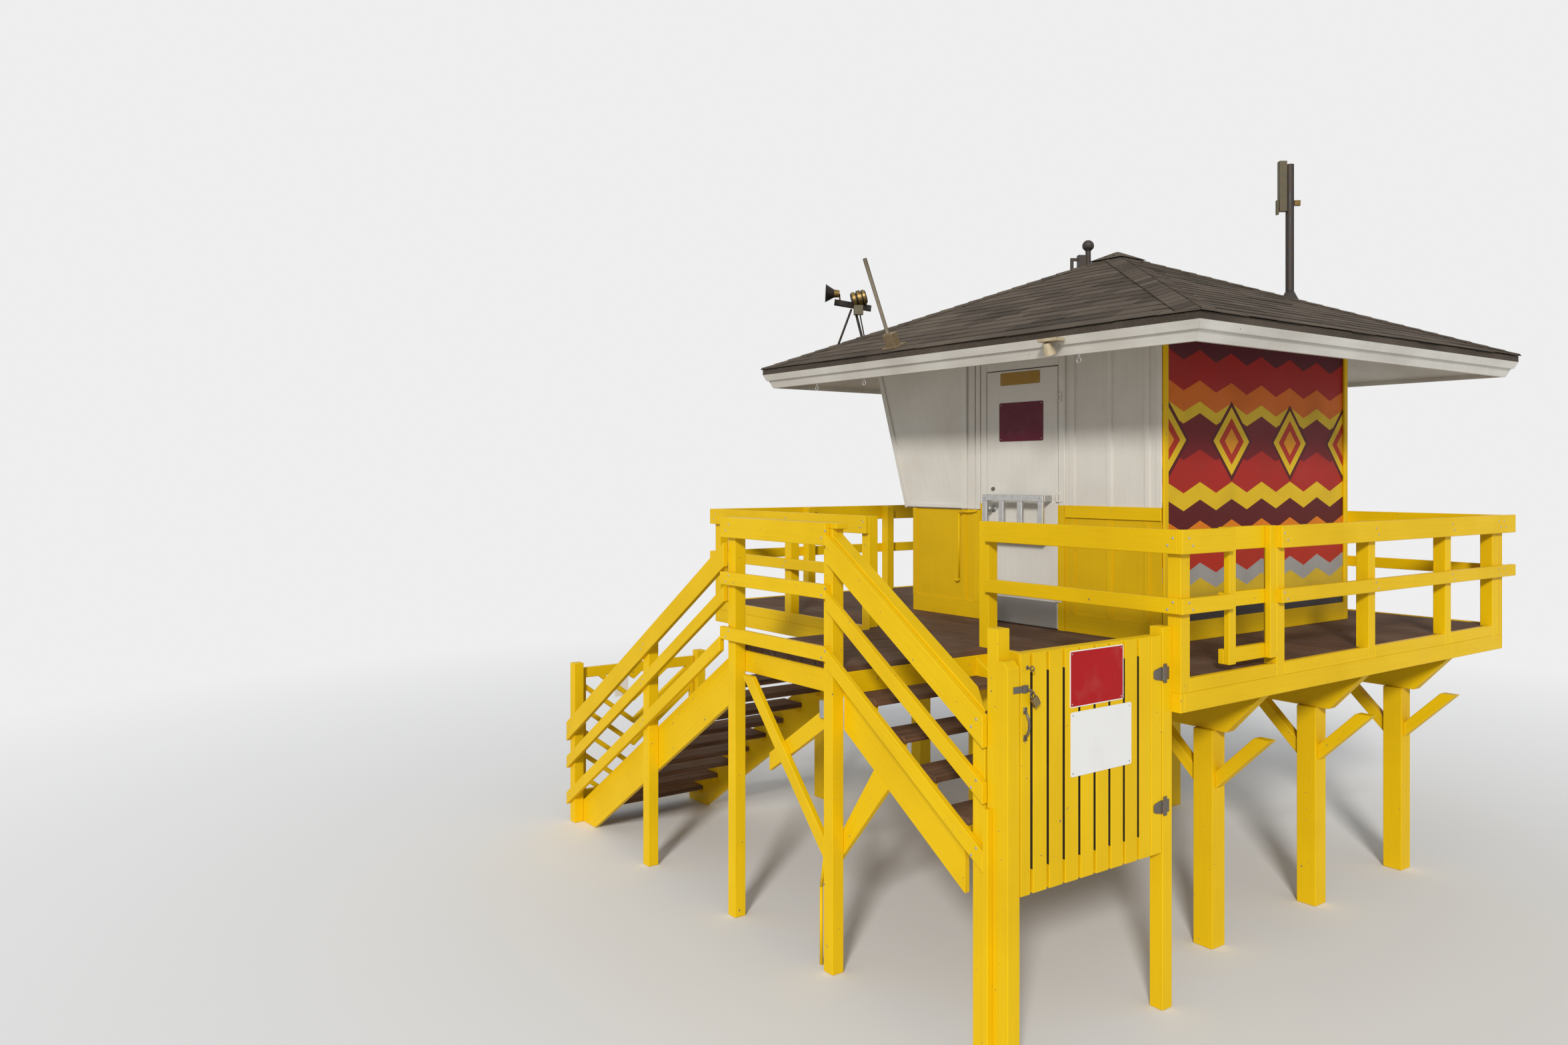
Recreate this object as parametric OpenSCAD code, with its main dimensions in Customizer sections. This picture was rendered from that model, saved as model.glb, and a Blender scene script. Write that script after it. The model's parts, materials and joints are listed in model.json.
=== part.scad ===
/* [Hut] */
// Width of the hut across the door side and the far side
hut_x = 2460; // [2200:10:2800]
// Length of the hut from the ocean half wall to the land wall
hut_y = 2560; // [2300:10:2900]
// Thickness of a framed and boarded wall
wall_t = 105; // [80:1:140]
// Height of the half wall under the shutters
sill_h = 900; // [800:10:1000]
// How far the shutter wall stands out at the sill
front_jut = 84; // [60:2:120]
// Height on the wall where the lean of the shutter wall is measured
lean_h = 1220; // [1100:10:1400]
// How far the shutter wall leans out over that height
lean_out = 386; // [250:2:450]
// Thickness of the leaning shutter wall
front_t = 90; // [60:1:110]
// Height of the belt board
belt_h = 93; // [60:1:140]
// How far trim boards stand out from the wall
trim_t = 19; // [12:1:30]
// Width of the corner trim boards
trim_w = 50; // [40:1:90]

/* [Door] */
// Width of the doorway
door_w = 755; // [700:5:900]
// Height of the doorway
door_h = 2030; // [1950:5:2080]
// Distance from the middle of the wall to the hinge side of the doorway
door_hinge_y = 369; // [250:1:450]
// Thickness of the door leaf
door_t = 40; // [32:1:50]
// Width of the door casing boards
casing_w = 62; // [40:1:80]
// How far the casing boards stand out from the wall
casing_t = 22; // [16:1:30]

/* [Rack on the door] */
// Height of the top rail of the rack above the deck
rack_top = 1030; // [900:5:1200]
// Height of the rack
rack_h = 350; // [250:5:450]
// How far the rack stands out from the door
rack_out = 110; // [60:2:130]
// Side of the square rack tubes
rack_tube = 25; // [16:1:32]

/* [Shutters] */
// Distance from the middle of the side wall to the rear edge of the side shutter
shutter_rear_y = 660; // [560:5:760]
// Thickness of the shutter panels
shutter_t = 24; // [16:1:32]
// Height of the top of the front window row above the deck
window_top = 1850; // [1650:10:1950]
// Width of the posts that part the front windows
mullion_w = 90; // [60:5:140]

/* [Deck] */
// Height of the deck surface above the lowest ground
deck_h = 1892; // [1800:1:2100]
// Width of the walkway on the door side
walk_door = 1105; // [980:5:1300]
// Width of the walkway on the land side
walk_land = 920; // [800:5:1100]
// Width of the walkway on the far side
walk_far = 635; // [500:5:700]
// Width of the walkway on the ocean side
walk_ocean = 1555; // [1300:5:1800]
// Thickness of the deck boards
plank_t = 38; // [28:1:45]
// Height of the edge board around the deck
edge_h = 75; // [60:1:90]
// Height of the rim joist below the edge board
rim_h = 112; // [90:1:140]

/* [Timber] */
// Side of a square post
post = 89; // [80:1:100]
// Thickness of rails, braces and rim boards
board_t = 38; // [30:1:45]
// Side of the square legs under the deck
leg = 140; // [110:1:160]
// Depth of the beams under the deck
beam_h = 286; // [230:1:300]
// Width of the beams under the deck
beam_w = 89; // [75:1:110]
// Distance between the beams
beam_gap = 1245; // [1100:5:1300]
// How far the rearmost and foremost legs stand in from the deck edges
leg_in = 450; // [350:5:600]

/* [Railing] */
// Height of the top of the railing above the deck
rail_h = 870; // [840:1:1100]
// Depth of the top rail
top_rail = 140; // [110:1:160]
// Depth of the middle rail
mid_rail = 89; // [70:1:110]
// Height of the middle of the middle rail
mid_rail_h = 430; // [380:1:500]
// Height of the underside of the low rail
toe_rail_h = 44; // [30:1:80]
// How far the land rails run past the far corner
rail_overrun = 150; // [80:5:250]

/* [Stairs] */
// Rise of each step
riser = 172; // [160:1:174]
// Going of each step
going = 260; // [250:1:280]
// Clear width between the stair post lines
stair_w = 1265; // [1100:5:1350]
// Distance of the land newel from the end of the land flight
newel_out = 193; // [170:1:220]
// Width of the doubled boards that stop the land gate
jamb_w = 76; // [70:1:90]
// Steps of the flight to the ocean side
ocean_steps = 10; // [8:1:10]
// Steps of the flight to the land side
land_steps = 4; // [3:1:5]
// Distance of the landing's ocean edge from the middle of the hut
landing_ocean = 498; // [450:1:600]
// Distance of the landing's land edge from the middle of the hut
landing_land = 688; // [600:1:720]
// Depth of the stair stringers
stringer_h = 286; // [240:1:300]
// Depth of the treads
tread_d = 248; // [225:1:250]
// Height of the landing's railing above the landing
landing_rail_h = 890; // [850:1:1000]
// Height of the ocean handrail above the line of the flight
ocean_rail_h = 745; // [700:1:800]
// Height of the land handrail above the line of the flight
land_rail_h = 830; // [780:1:845]
// Height of the ocean newels above the handrail
newel_over_rail = 497; // [450:1:550]
// Distance of the ocean flight's middle post from the landing
mid_post_run = 1202; // [1000:1:1400]

/* [Gates] */
// Height of the land gate's top above the deck
gate_top = 265; // [150:5:300]
// Height of the land gate
gate_h = 1248; // [1100:1:1290]
// Distance of the ocean gate's top below the newels' tops
ocean_gate_drop = 55; // [20:1:120]
// Gap around a closed gate or door
gap = 8; // [6:1:12]
// Width of each picket slot
slot_w = 15; // [12:1:30]
// Distance between picket slots
slot_pitch = 125; // [110:1:140]
// Width of the slats of the ocean gate
slat_w = 40; // [30:1:60]
// Upright distance between the slats
slat_pitch = 205; // [170:1:240]
// Slope of the slats in degrees
slat_slope = 37; // [30:1:45]

/* [Roof] */
// Overhang of the roof past the door, far and land walls
overhang = 924; // [800:2:940]
// Overhang of the roof past the ocean half wall
overhang_ocean = 1030; // [900:5:1150]
// Height of the top of the roof edge above the deck
eave_top = 2145; // [2100:5:2300]
// Rise of the roof from its edge to its peak
roof_rise = 920; // [800:5:1050]
// Thickness of the boards and shingles, measured upright
shell_t = 45; // [35:1:60]
// Height of the lower fascia board
fascia_low_h = 66; // [50:1:90]
// Height of the upper fascia board
fascia_up_h = 54; // [40:1:70]
// Thickness of the soffit boards
soffit_t = 14; // [10:1:20]
// Width of the hip caps, seen from above
cap_w = 240; // [150:5:320]
// Thickness of the hip caps, measured upright
cap_t = 12; // [6:1:20]

/* [Roof equipment] */
// Outer radius of the mast pole
mast_r = 33.5; // [25:0.5:45]
// Height of the mast top above the roof peak
mast_over_peak = 746; // [400:5:900]
// Share of the way from the peak to the corner where the mast stands
mast_share = 0.445; // [0.3:0.005:0.5]
// Length of the panel on the mast
panel_h = 420; // [300:5:500]
// Height of the floodlight stand
stand_h = 315; // [200:5:400]
// Length of the pole at the eave
pole_l = 700; // [400:5:800]

/* [Hidden] */
$fn = 32;

// Clearances and overlaps used by several pieces
kerf = 0.6;
eps = 1;

// Distance of the railing post from the landing's ocean edge
rail_set = 84;

// Radius of the hinge barrels, and how far they stand out from a gate
hinge_r = 9;
hinge_out = 2*hinge_r;
hinge_pin_r = 4;
hinge_play = 0.05;
hinge_shake = 0.3;
knuckle_h = 36;
leaf_t = 5;
strap_reach = 75;
hinge_in_low = 265;
hinge_in_high = 220;

// Deck outline
deck_x1 = hut_x/2 + walk_door;
deck_x0 = -hut_x/2 - walk_far;
deck_y1 = hut_y/2 + walk_land;
deck_y0 = -hut_y/2 - walk_ocean;
rim_z = deck_h - edge_h - rim_h;

// Gap in the railing between deck and landing, from post to post
gap_y0 = -landing_ocean - rail_set;
gap_y1 = landing_land - post;
rail_gap = 4;

// Outer line of the landing and stairs
line_x0 = deck_x1;
line_x1 = deck_x1 + stair_w;
flight_x0 = line_x0 + post + kerf;
flight_x1 = line_x1 - kerf;
out_x = line_x1 + post;
stair_tan = riser/going;
stair_cos = going/sqrt(riser*riser + going*going);

// Roof outline
roof_x1 = hut_x/2 + overhang;
roof_x0 = -roof_x1;
roof_y1 = hut_y/2 + overhang;
roof_y0 = -hut_y/2 - overhang_ocean;
eave_z = deck_h + eave_top;
peak_z = eave_z + roof_rise;
roof_mid_y = (roof_y0 + roof_y1)/2;
fascia_h = fascia_low_h + fascia_up_h;
soffit_drop = shell_t + fascia_h - soffit_t;

// The base middle of the whole tower is the origin
mid_x = (roof_x0 + out_x + board_t)/2;
newel_y = -landing_ocean - ocean_steps*going + board_t;
mid_y = (newel_y - post/2 - hinge_out + deck_y1 + board_t)/2;
module seat() translate([-mid_x, -mid_y, 0]) children();

// Board between two opposite corners
module block(a, b) translate(a) cube(b - a);

// Outline in Y and Z, drawn out along X from x0 to x1
module prism_x(x0, x1, pts)
    translate([x0, 0, 0]) rotate([90, 0, 90]) linear_extrude(x1 - x0) polygon(pts);

// Outline in X and Z, drawn out along Y from y0 to y1
module prism_y(y0, y1, pts)
    translate([0, y1, 0]) rotate([90, 0, 0]) linear_extrude(y1 - y0) polygon(pts);

// Board with plumb ends whose top edge runs from [ya, za] to [yb, zb]
module rake(x0, x1, ya, za, yb, zb, depth) {
    drop = depth/cos(atan2(zb - za, yb - ya));
    prism_x(x0, x1, [[ya, za], [yb, zb], [yb, zb - drop], [ya, za - drop]]);
}

// Pyramid between the roof edges, lowered by drop and closed at z0
module roof_block(drop, z0, grow = 0) {
    ez = eave_z - drop;
    pz = peak_z - drop;
    polyhedron(
        points = [[roof_x0 - grow, roof_y0 - grow, z0], [roof_x1 + grow, roof_y0 - grow, z0],
                  [roof_x1 + grow, roof_y1 + grow, z0], [roof_x0 - grow, roof_y1 + grow, z0],
                  [roof_x0 - grow, roof_y0 - grow, ez], [roof_x1 + grow, roof_y0 - grow, ez],
                  [roof_x1 + grow, roof_y1 + grow, ez], [roof_x0 - grow, roof_y1 + grow, ez],
                  [0, roof_mid_y, pz]],
        faces = [[0, 1, 2, 3], [0, 4, 5, 1], [1, 5, 6, 2], [2, 6, 7, 3], [3, 7, 4, 0],
                 [4, 8, 5], [5, 8, 6], [6, 8, 7], [7, 8, 4]]);
}

// Thin upright cuts along the hips, which part the four roof sides
module hip_cuts() {
    for (sx = [-1, 1], sy = [-1, 1]) {
        dx = roof_x1 * sx;
        dy = (roof_y1 - roof_y0)/2 * sy;
        translate([0, roof_mid_y, eave_z - 500]) rotate([0, 0, atan2(dy, dx)])
            translate([0, -kerf/2, 0]) cube([norm([dx, dy]) + 200, kerf, roof_rise + 600]);
    }
}

// Height of the underside of the roof shell over a point
function shell_under(x, y) =
    let (px = roof_rise*(roof_x1 - abs(x))/roof_x1,
         py = roof_rise*((roof_y1 - roof_y0)/2 - abs(y - roof_mid_y))/((roof_y1 - roof_y0)/2))
    eave_z - shell_t + min(px, py);

// Outer face of the leaning front wall at height z above the deck
function front_y(z) = -hut_y/2 - front_jut - lean_out*(z - sill_h)/lean_h;

// Post standing on the deck edge, its outer faces on the outline
module rail_post(x, y, foot = -edge_h)
    block([x, y, deck_h + foot], [x + post, y + post, deck_h + rail_h - rail_gap]);

module deck_floor() color("saddlebrown")
    difference() {
        union() {
            block([deck_x0 + board_t + eps, deck_y0 + board_t + eps, deck_h - plank_t],
                  [deck_x1 - board_t - eps, deck_y1 - board_t - eps, deck_h]);
            block([deck_x1 - 2*board_t, gap_y0, deck_h - plank_t], [deck_x1, gap_y1, deck_h]);
        }
        for (p = deck_post_spots())
            block([p[0] - eps, p[1] - eps, deck_h - 2*plank_t],
                  [p[0] + post + eps, p[1] + post + eps, deck_h + eps]);
    }

// Railing posts by the corner nearest the origin of each
land_post_in = [0, 990, 2120, 3240];
function land_spots() = [for (d = land_post_in) [deck_x1 - post - d, deck_y1 - post]];
far_post_n = 4;
function far_spots() = [for (i = [1 : far_post_n - 1])
    [deck_x0, deck_y0 + i*(deck_y1 - deck_y0 - post)/far_post_n]];
ocean_post_n = 4;
function ocean_spots() = [for (i = [0 : ocean_post_n])
    [deck_x0 + i*(deck_x1 - deck_x0 - post)/ocean_post_n, deck_y0]];
function door_spots() = [[deck_x1 - post, gap_y1], [deck_x1 - post, gap_y0 - post],
    [deck_x1 - post, (deck_y0 - landing_ocean - post)/2]];
function corner_spots() = [[deck_x0, deck_y1 - post], [deck_x0 + post + eps, deck_y1 - post]];
function deck_post_spots() =
    concat(land_spots(), far_spots(), ocean_spots(), door_spots(), corner_spots());

module deck_rim() color("gold") {
    // Rim joists all round, butted with a hairline joint
    block([deck_x0, deck_y0, rim_z], [deck_x0 + board_t, deck_y1, deck_h - edge_h]);
    block([deck_x1 - board_t, deck_y0, rim_z], [deck_x1, deck_y1, deck_h - edge_h]);
    for (y = [deck_y0, deck_y1 - board_t])
        block([deck_x0 + board_t + kerf, y, rim_z],
              [deck_x1 - board_t - kerf, y + board_t, deck_h - edge_h]);
    // Edge boards between the posts
    difference() {
        union() {
            for (x = [deck_x0, deck_x1 - board_t])
                block([x, deck_y0, deck_h - edge_h + kerf], [x + board_t, deck_y1, deck_h + 6]);
            for (y = [deck_y0, deck_y1 - board_t])
                block([deck_x0, y, deck_h - edge_h + kerf], [deck_x1, y + board_t, deck_h + 6]);
        }
        for (p = deck_post_spots())
            block([p[0] - kerf, p[1] - kerf, deck_h - edge_h - eps],
                  [p[0] + post + kerf, p[1] + post + kerf, deck_h + 10]);
        block([deck_x1 - 2*board_t, gap_y0, deck_h - edge_h], [deck_x1 + eps, gap_y1, deck_h + 10]);
    }
}

joist_n = 8;
module deck_joists() color("goldenrod")
    difference() {
        for (i = [1 : joist_n]) {
            y = deck_y0 + i*(deck_y1 - deck_y0)/(joist_n + 1);
            block([deck_x0 + board_t + kerf, y - board_t/2, rim_z],
                  [deck_x1 - board_t - kerf, y + board_t/2, deck_h - plank_t]);
        }
        for (p = deck_post_spots())
            block([p[0] - eps, p[1] - eps, deck_h - edge_h - kerf],
                  [p[0] + post + eps, p[1] + post + eps, deck_h]);
    }

beam_x = [for (i = [-1 : 1]) 140 + i*beam_gap];
beam_end_cut = 260;
module deck_beams() color("gold")
    for (x = beam_x)
        prism_x(x - beam_w/2, x + beam_w/2,
            [[deck_y0 + board_t, rim_z], [deck_y1 - board_t, rim_z],
             [deck_y1 - board_t - beam_end_cut, rim_z - beam_h],
             [deck_y0 + board_t + beam_end_cut, rim_z - beam_h]]);

leg_y = [deck_y0 + leg_in, (deck_y0 + deck_y1)/2, deck_y1 - leg_in];
module deck_legs() color("gold")
    for (x = beam_x, y = leg_y)
        block([x - leg/2, y - leg/2, 0], [x + leg/2, y + leg/2, rim_z - beam_h]);

brace_run = 380;
module knee_braces() color("gold")
    for (x = beam_x, s = [-1, 1]) {
        y = s < 0 ? leg_y[0] : leg_y[2];
        for (d = [-1, 1]) {
            a = y + d*leg/2;
            prism_x(x - board_t, x + board_t,
                [[a, rim_z - beam_h - brace_run], [a, rim_z - beam_h - brace_run + 110],
                 [a + d*(brace_run - 110), rim_z - beam_h], [a + d*brace_run, rim_z - beam_h]]);
        }
    }

module railing_posts() color("gold") {
    for (p = deck_post_spots()) {
        rail_post(p[0], p[1]);
    }
}

// Level rail outside a row of posts, along X on the land or ocean side
module rails_x(x0, x1, y, heights)
    for (h = heights) block([x0, y, deck_h + h[0]], [x1, y + board_t, deck_h + h[0] + h[1]]);
module rails_y(y0, y1, x, heights)
    for (h = heights) block([x, y0, deck_h + h[0]], [x + board_t, y1, deck_h + h[0] + h[1]]);
two_rails = [[rail_h - top_rail, top_rail], [mid_rail_h - mid_rail/2, mid_rail]];
three_rails = concat(two_rails, [[toe_rail_h, mid_rail]]);

leaf_x1 = deck_x1 - 480;
leaf_x0 = deck_x1 - land_post_in[1] - post;
leaf_stile = 70;
module land_rails() color("gold") {
    rails_x(leaf_x1, deck_x1 + board_t, deck_y1, two_rails);
    rails_x(deck_x0 - rail_overrun, leaf_x0 + post, deck_y1, two_rails);
}

module rail_leaf() color("gold") {
    y = deck_y1 - board_t;
    x0 = leaf_x0 + post + kerf;
    // The leaf's own rails lie behind the line of the fixed rails
    for (h = three_rails)
        block([x0, y - board_t - kerf, deck_h + h[0]], [leaf_x1, y - kerf, deck_h + h[0] + h[1]]);
    for (x = [x0, leaf_x1 - leaf_stile])
        block([x, y, deck_h + toe_rail_h], [x + leaf_stile, y + board_t - kerf, deck_h + rail_h]);
}

module ocean_rails() color("gold")
    rails_x(deck_x0 - board_t, deck_x1 + board_t, deck_y0 - board_t, two_rails);

module far_rails() color("gold")
    rails_y(deck_y0 + kerf, deck_y1 - kerf, deck_x0 - board_t, two_rails);

module door_side_rails() color("gold") {
    rails_y(landing_land + kerf, deck_y1 - kerf, deck_x1, two_rails);
    rails_y(deck_y0 + kerf, gap_y0, deck_x1, two_rails);
}

module landing_floor() color("saddlebrown")
    block([line_x0 + kerf, -landing_ocean, deck_h - plank_t], [line_x1, landing_land, deck_h]);

module landing_frame() color("gold") {
    z = deck_h - plank_t - kerf;
    block([line_x0 + kerf, -landing_ocean, rim_z], [line_x1 - board_t - kerf, -landing_ocean + board_t, z]);
    block([line_x0 + kerf, landing_land - board_t, rim_z], [line_x1 - board_t - kerf, landing_land, z]);
    block([line_x1 - board_t, -landing_ocean, rim_z], [line_x1, landing_land, z]);
}

// Flat cap on the landing posts, inside the top rail
cap_board = 36;
landing_cap_z = deck_h + landing_rail_h - cap_board;
module landing_posts() color("gold")
    for (y = [-landing_ocean, landing_land - post])
        block([line_x1 + kerf, y, 0], [out_x, y + post, landing_cap_z - kerf]);

landing_rails_h = [[landing_rail_h - top_rail, top_rail], [421, mid_rail], [36, mid_rail]];
landing_over = 50;
landing_back = 25;
cap_over = 41;
module landing_rails() color("gold") {
    for (h = landing_rails_h)
        block([out_x + kerf, -landing_ocean - landing_over, deck_h + h[0]],
              [out_x + board_t, landing_land - landing_back, deck_h + h[0] + h[1]]);
    block([line_x1 + kerf, -landing_ocean - cap_over, landing_cap_z],
          [out_x, landing_land + cap_over, landing_cap_z + cap_board]);
}

// Braces against the landing's land post, in Y from its face and Z from the rim's underside
long_foot = 1015;
long_slope = 1.1;
short_run = 650;
short_top = 59;
short_fall = 430;
short_end = 120;
brace_v = 130;
module landing_braces() color("gold") {
    z1 = rim_z;
    yb = landing_land - post - kerf;
    x = out_x - 2 - board_t;
    prism_x(x, x + board_t,
        [[yb, z1 - long_foot], [yb, z1 - long_foot + brace_v],
         [yb - (long_foot - brace_v)/long_slope, z1], [yb - long_foot/long_slope, z1]]);
    prism_x(x - kerf - board_t, x - kerf,
        [[yb, z1 - short_top], [yb - short_run, z1 - short_top - short_fall],
         [yb - short_run, z1 - short_top - short_fall - short_end], [yb, z1 - short_top - brace_v]]);
    // Knee brace from the post up to the land stringer
    ya = landing_land - post/2;
    yc = ya + knee_run;
    prism_x(flight_x1 - board_t, flight_x1,
        [[ya, knee_z], [yc, land_stringer_under(yc) - kerf],
         [yc - knee_w, land_stringer_under(yc - knee_w) - kerf], [ya, knee_z + knee_w*knee_slope]]);
}

// Top edge of a rail on a flight, h above the flight's line through the landing post
function ocean_rail_z(y, h) = deck_h + h - (-landing_ocean + post/2 - y)*stair_tan;
function land_rail_z(y, h) = deck_h + h - (y - landing_land + post/2)*stair_tan;
ocean_rakes = [[ocean_rail_h, top_rail], [440, mid_rail], [120, mid_rail]];
land_rakes = [[land_rail_h, top_rail], [479, mid_rail], [127, mid_rail]];
land_stringer_drop = 20;
stringer_v = stringer_h/stair_cos;
function land_stringer_under(y) = land_rail_z(y, -land_stringer_drop) - stringer_v;

// Knee brace under the land stringer
knee_run = 458;
knee_z = deck_h - 1214;
knee_w = 130;
knee_slope = (land_stringer_under(landing_land - post/2 + knee_run) - knee_z)/knee_run;

module ocean_stringers() color("gold") {
    y1 = -landing_ocean - kerf;
    y0 = newel_y - post/2;
    za = ocean_rail_z(y1, 0);
    zb = ocean_rail_z(y0, 0);
    yf = y0 + (stringer_v - zb)/stair_tan;
    for (x = [flight_x0, flight_x1 - board_t])
        prism_x(x, x + board_t,
            [[y1, za], [y1, za - stringer_v], [yf, 0], [y0, 0], [y0, zb]]);
}

flight_end = landing_land + land_steps*going + 9;
module land_stringers() color("gold") {
    y0 = landing_land + kerf;
    for (x = [flight_x0, flight_x1 - board_t])
        rake(x, x + board_t, y0, land_rail_z(y0, -land_stringer_drop),
             flight_end, land_rail_z(flight_end, -land_stringer_drop), stringer_h);
}

// One tread between the stringers
module tread(y, z)
    block([flight_x0 + board_t + kerf, y, z - plank_t], [flight_x1 - board_t - kerf, y + tread_d, z]);

module ocean_treads() color("saddlebrown")
    for (i = [1 : ocean_steps])
        tread(-landing_ocean - i*going, deck_h - i*riser);

module land_treads() color("saddlebrown")
    for (i = [1 : land_steps])
        tread(landing_land + i*going - tread_d, deck_h - i*riser);

mid_newel_y = -landing_ocean - mid_post_run;
newel_top = ocean_rail_z(newel_y, ocean_rail_h) + newel_over_rail;
mid_newel_drop = 30;
module ocean_newels() color("gold") {
    for (x = [line_x0, line_x1])
        block([x, newel_y - post/2, 0], [x + post, newel_y + post/2, newel_top]);
    block([line_x1, mid_newel_y - post/2, 0],
          [out_x, mid_newel_y + post/2, ocean_rail_z(mid_newel_y - post/2, ocean_rail_h - mid_newel_drop)]);
}

// The lowest rail stops at the landing's own, the others tuck in under them
module ocean_handrails() color("gold")
    for (r = ocean_rakes) {
        low = newel_y - post/2;
        high = -landing_ocean - (r[0] < mid_rail_h/2 ? landing_over + kerf : kerf);
        rake(out_x + kerf, out_x + board_t, low, ocean_rail_z(low, r[0]),
             high, ocean_rail_z(high, r[0]), r[1]);
    }

gate_z1 = deck_h + gate_top;
newel_land_y = flight_end + newel_out;
newel_land_end = newel_land_y + post/2;
jamb_y = newel_land_end + 15;
latch_y = jamb_y + jamb_w + kerf;
gate_f = latch_y + jamb_w;
batten_y = jamb_y + 4;
slope_cap_h = 845;
end_cut = 140;
function slope_cap_z(y) = land_rail_z(y, slope_cap_h) - cap_board/stair_cos;
batten_w = 36;
batten_top = deck_h - 540;
tall_jamb = 390;
latch_top = deck_h + 230;
jamb_cut = 35;
hinge_post_over = 45;
module land_newels() color("gold") {
    block([line_x1 + kerf, newel_land_y - post/2, 0],
          [out_x, newel_land_end, slope_cap_z(newel_land_end) - kerf]);
    // Boards that stop the gate, the far one taller
    block([line_x1 + kerf, jamb_y, 0], [out_x, jamb_y + jamb_w, deck_h + tall_jamb]);
    prism_x(line_x1 + gap, out_x + gap,
        [[latch_y, 0], [gate_f, 0], [gate_f, latch_top - jamb_cut], [gate_f - jamb_cut, latch_top],
         [latch_y, latch_top]]);
    block([line_x0, gate_f - post, 0], [line_x0 + post, gate_f, gate_z1 + hinge_post_over]);
    // Batten on the tall jamb
    block([out_x + kerf, batten_y, 0], [out_x + board_t, batten_y + batten_w, batten_top]);
}

// The rails pass the newel and end at the tall jamb's batten, and a flat cap lies behind the handrail
module land_handrails() color("gold") {
    for (r = land_rakes) {
        y0 = landing_land - landing_back + kerf;
        y1 = batten_y - kerf;
        rake(out_x + kerf, out_x + board_t, y0, land_rail_z(y0, r[0]), y1, land_rail_z(y1, r[0]), r[1]);
    }
    ya = landing_land + kerf;
    yb = newel_land_end + 10;
    difference() {
        rake(line_x1 + kerf, out_x, ya, land_rail_z(ya, slope_cap_h), yb, land_rail_z(yb, slope_cap_h),
             cap_board);
        // The cap's lower end is cut off at an angle
        translate([line_x1, yb - end_cut - 6, 0]) rotate([0, 0, atan2(end_cut, post)])
            cube([3*post, 3*post, deck_h + landing_rail_h]);
    }
}

// Land gate: boards side by side with narrow slots between the rails
gate_x0 = line_x0 + post + gap;
gate_x1 = line_x1;
gate_z0 = gate_z1 - gate_h;
slot_n = 8;
slot_in = 74;
slot_low = 126;
slot_high = 82;
gate_rail = 120;
gate_rail_in = 25;
module land_gate() color("yellow") {
    difference() {
        block([gate_x0, gate_f - board_t, gate_z0], [gate_x1, gate_f, gate_z1]);
        for (i = [0 : slot_n - 1])
            block([gate_x1 - slot_in - i*slot_pitch - slot_w, gate_f - board_t - eps, gate_z0 + slot_low],
                  [gate_x1 - slot_in - i*slot_pitch, gate_f + eps, gate_z1 - slot_high]);
    }
    // Rails behind the boards
    for (r = [[gate_z0 + slot_low - gate_rail, gate_rail], [gate_z1 - slot_high, slot_high - kerf]])
        block([gate_x0 + gate_rail_in, gate_f - 2*board_t, r[0]],
              [gate_x1 - gate_rail_in, gate_f - board_t - kerf, r[0] + r[1]]);
}

// Strap half of a hinge: knuckle on the axis and a strap along +X, its back at y = -hinge_r
module hinge_strap(reach) difference() {
    union() {
        translate([0, 0, -knuckle_h/2]) cylinder(r = hinge_r, h = knuckle_h);
        block([0, -hinge_r, -knuckle_h/2], [reach, -hinge_r + leaf_t, knuckle_h/2]);
    }
    translate([0, 0, -knuckle_h]) cylinder(r = hinge_pin_r + hinge_play, h = 2*knuckle_h);
}

// Pin with the two outer knuckles of a hinge
module hinge_pin() {
    z = knuckle_h/2 + hinge_shake;
    translate([0, 0, -z - knuckle_h/2]) cylinder(r = hinge_pin_r, h = 2*z + knuckle_h);
    for (a = [-z - knuckle_h/2, z]) translate([0, 0, a]) cylinder(r = hinge_r, h = knuckle_h/2);
}

// Fixed leaf along -X, its back at y = -hinge_r, joined to the two outer knuckles
module hinge_leaf(reach) {
    z = knuckle_h/2 + hinge_shake;
    for (a = [-z - knuckle_h/2, z])
        block([-reach, -hinge_r, a], [0, -hinge_r + leaf_t, a + knuckle_h/2]);
    block([-reach, -hinge_r, -z - knuckle_h/2], [-hinge_r - 3, -hinge_r + leaf_t, z + knuckle_h/2]);
}

// Outline of the ocean gate, flush with the newels' ocean faces
og_x0 = line_x0 + post + gap;
og_x1 = line_x1 - gap;
og_f = newel_y - post/2;
og_clear = 11;
og_z0 = ocean_rail_z(og_f + board_t, 0) + og_clear;
og_z1 = newel_top - ocean_gate_drop;

// Places of the hinges of the two gates and the door
gate_hinge_z = [gate_z0 + hinge_in_low, gate_z1 - hinge_in_high];
module at_land_hinges() for (z = gate_hinge_z) translate([gate_x0 - gap/2, gate_f + hinge_r, z]) children();
ocean_hinge_z = [og_z0 + hinge_in_low, og_z1 - hinge_in_high];
module at_ocean_hinges()
    for (z = ocean_hinge_z) translate([og_x0 - gap/2, og_f - hinge_r, z]) mirror([0, 1, 0]) children();
door_hinge_z = [deck_h + 250, deck_h + door_h/2, deck_h + door_h - 250];
module at_door_hinges()
    for (z = door_hinge_z)
        translate([door_face + hinge_r, door_hinge_y - gap/2, z]) rotate([0, 0, -90]) children();

module land_gate_hardware() color("dimgray") at_land_hinges() hinge_strap(strap_reach);
module ocean_gate_hardware() color("dimgray") at_ocean_hinges() hinge_strap(strap_reach);
module door_hinges() color("silver") at_door_hinges() hinge_strap(45);

module fixed_hinge_halves() color("dimgray") {
    at_land_hinges() {
        hinge_pin();
        hinge_leaf(60);
    }
    at_door_hinges() {
        hinge_pin();
        hinge_leaf(40);
    }
    at_ocean_hinges() {
        hinge_pin();
        hinge_leaf(60);
    }
}

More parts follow.
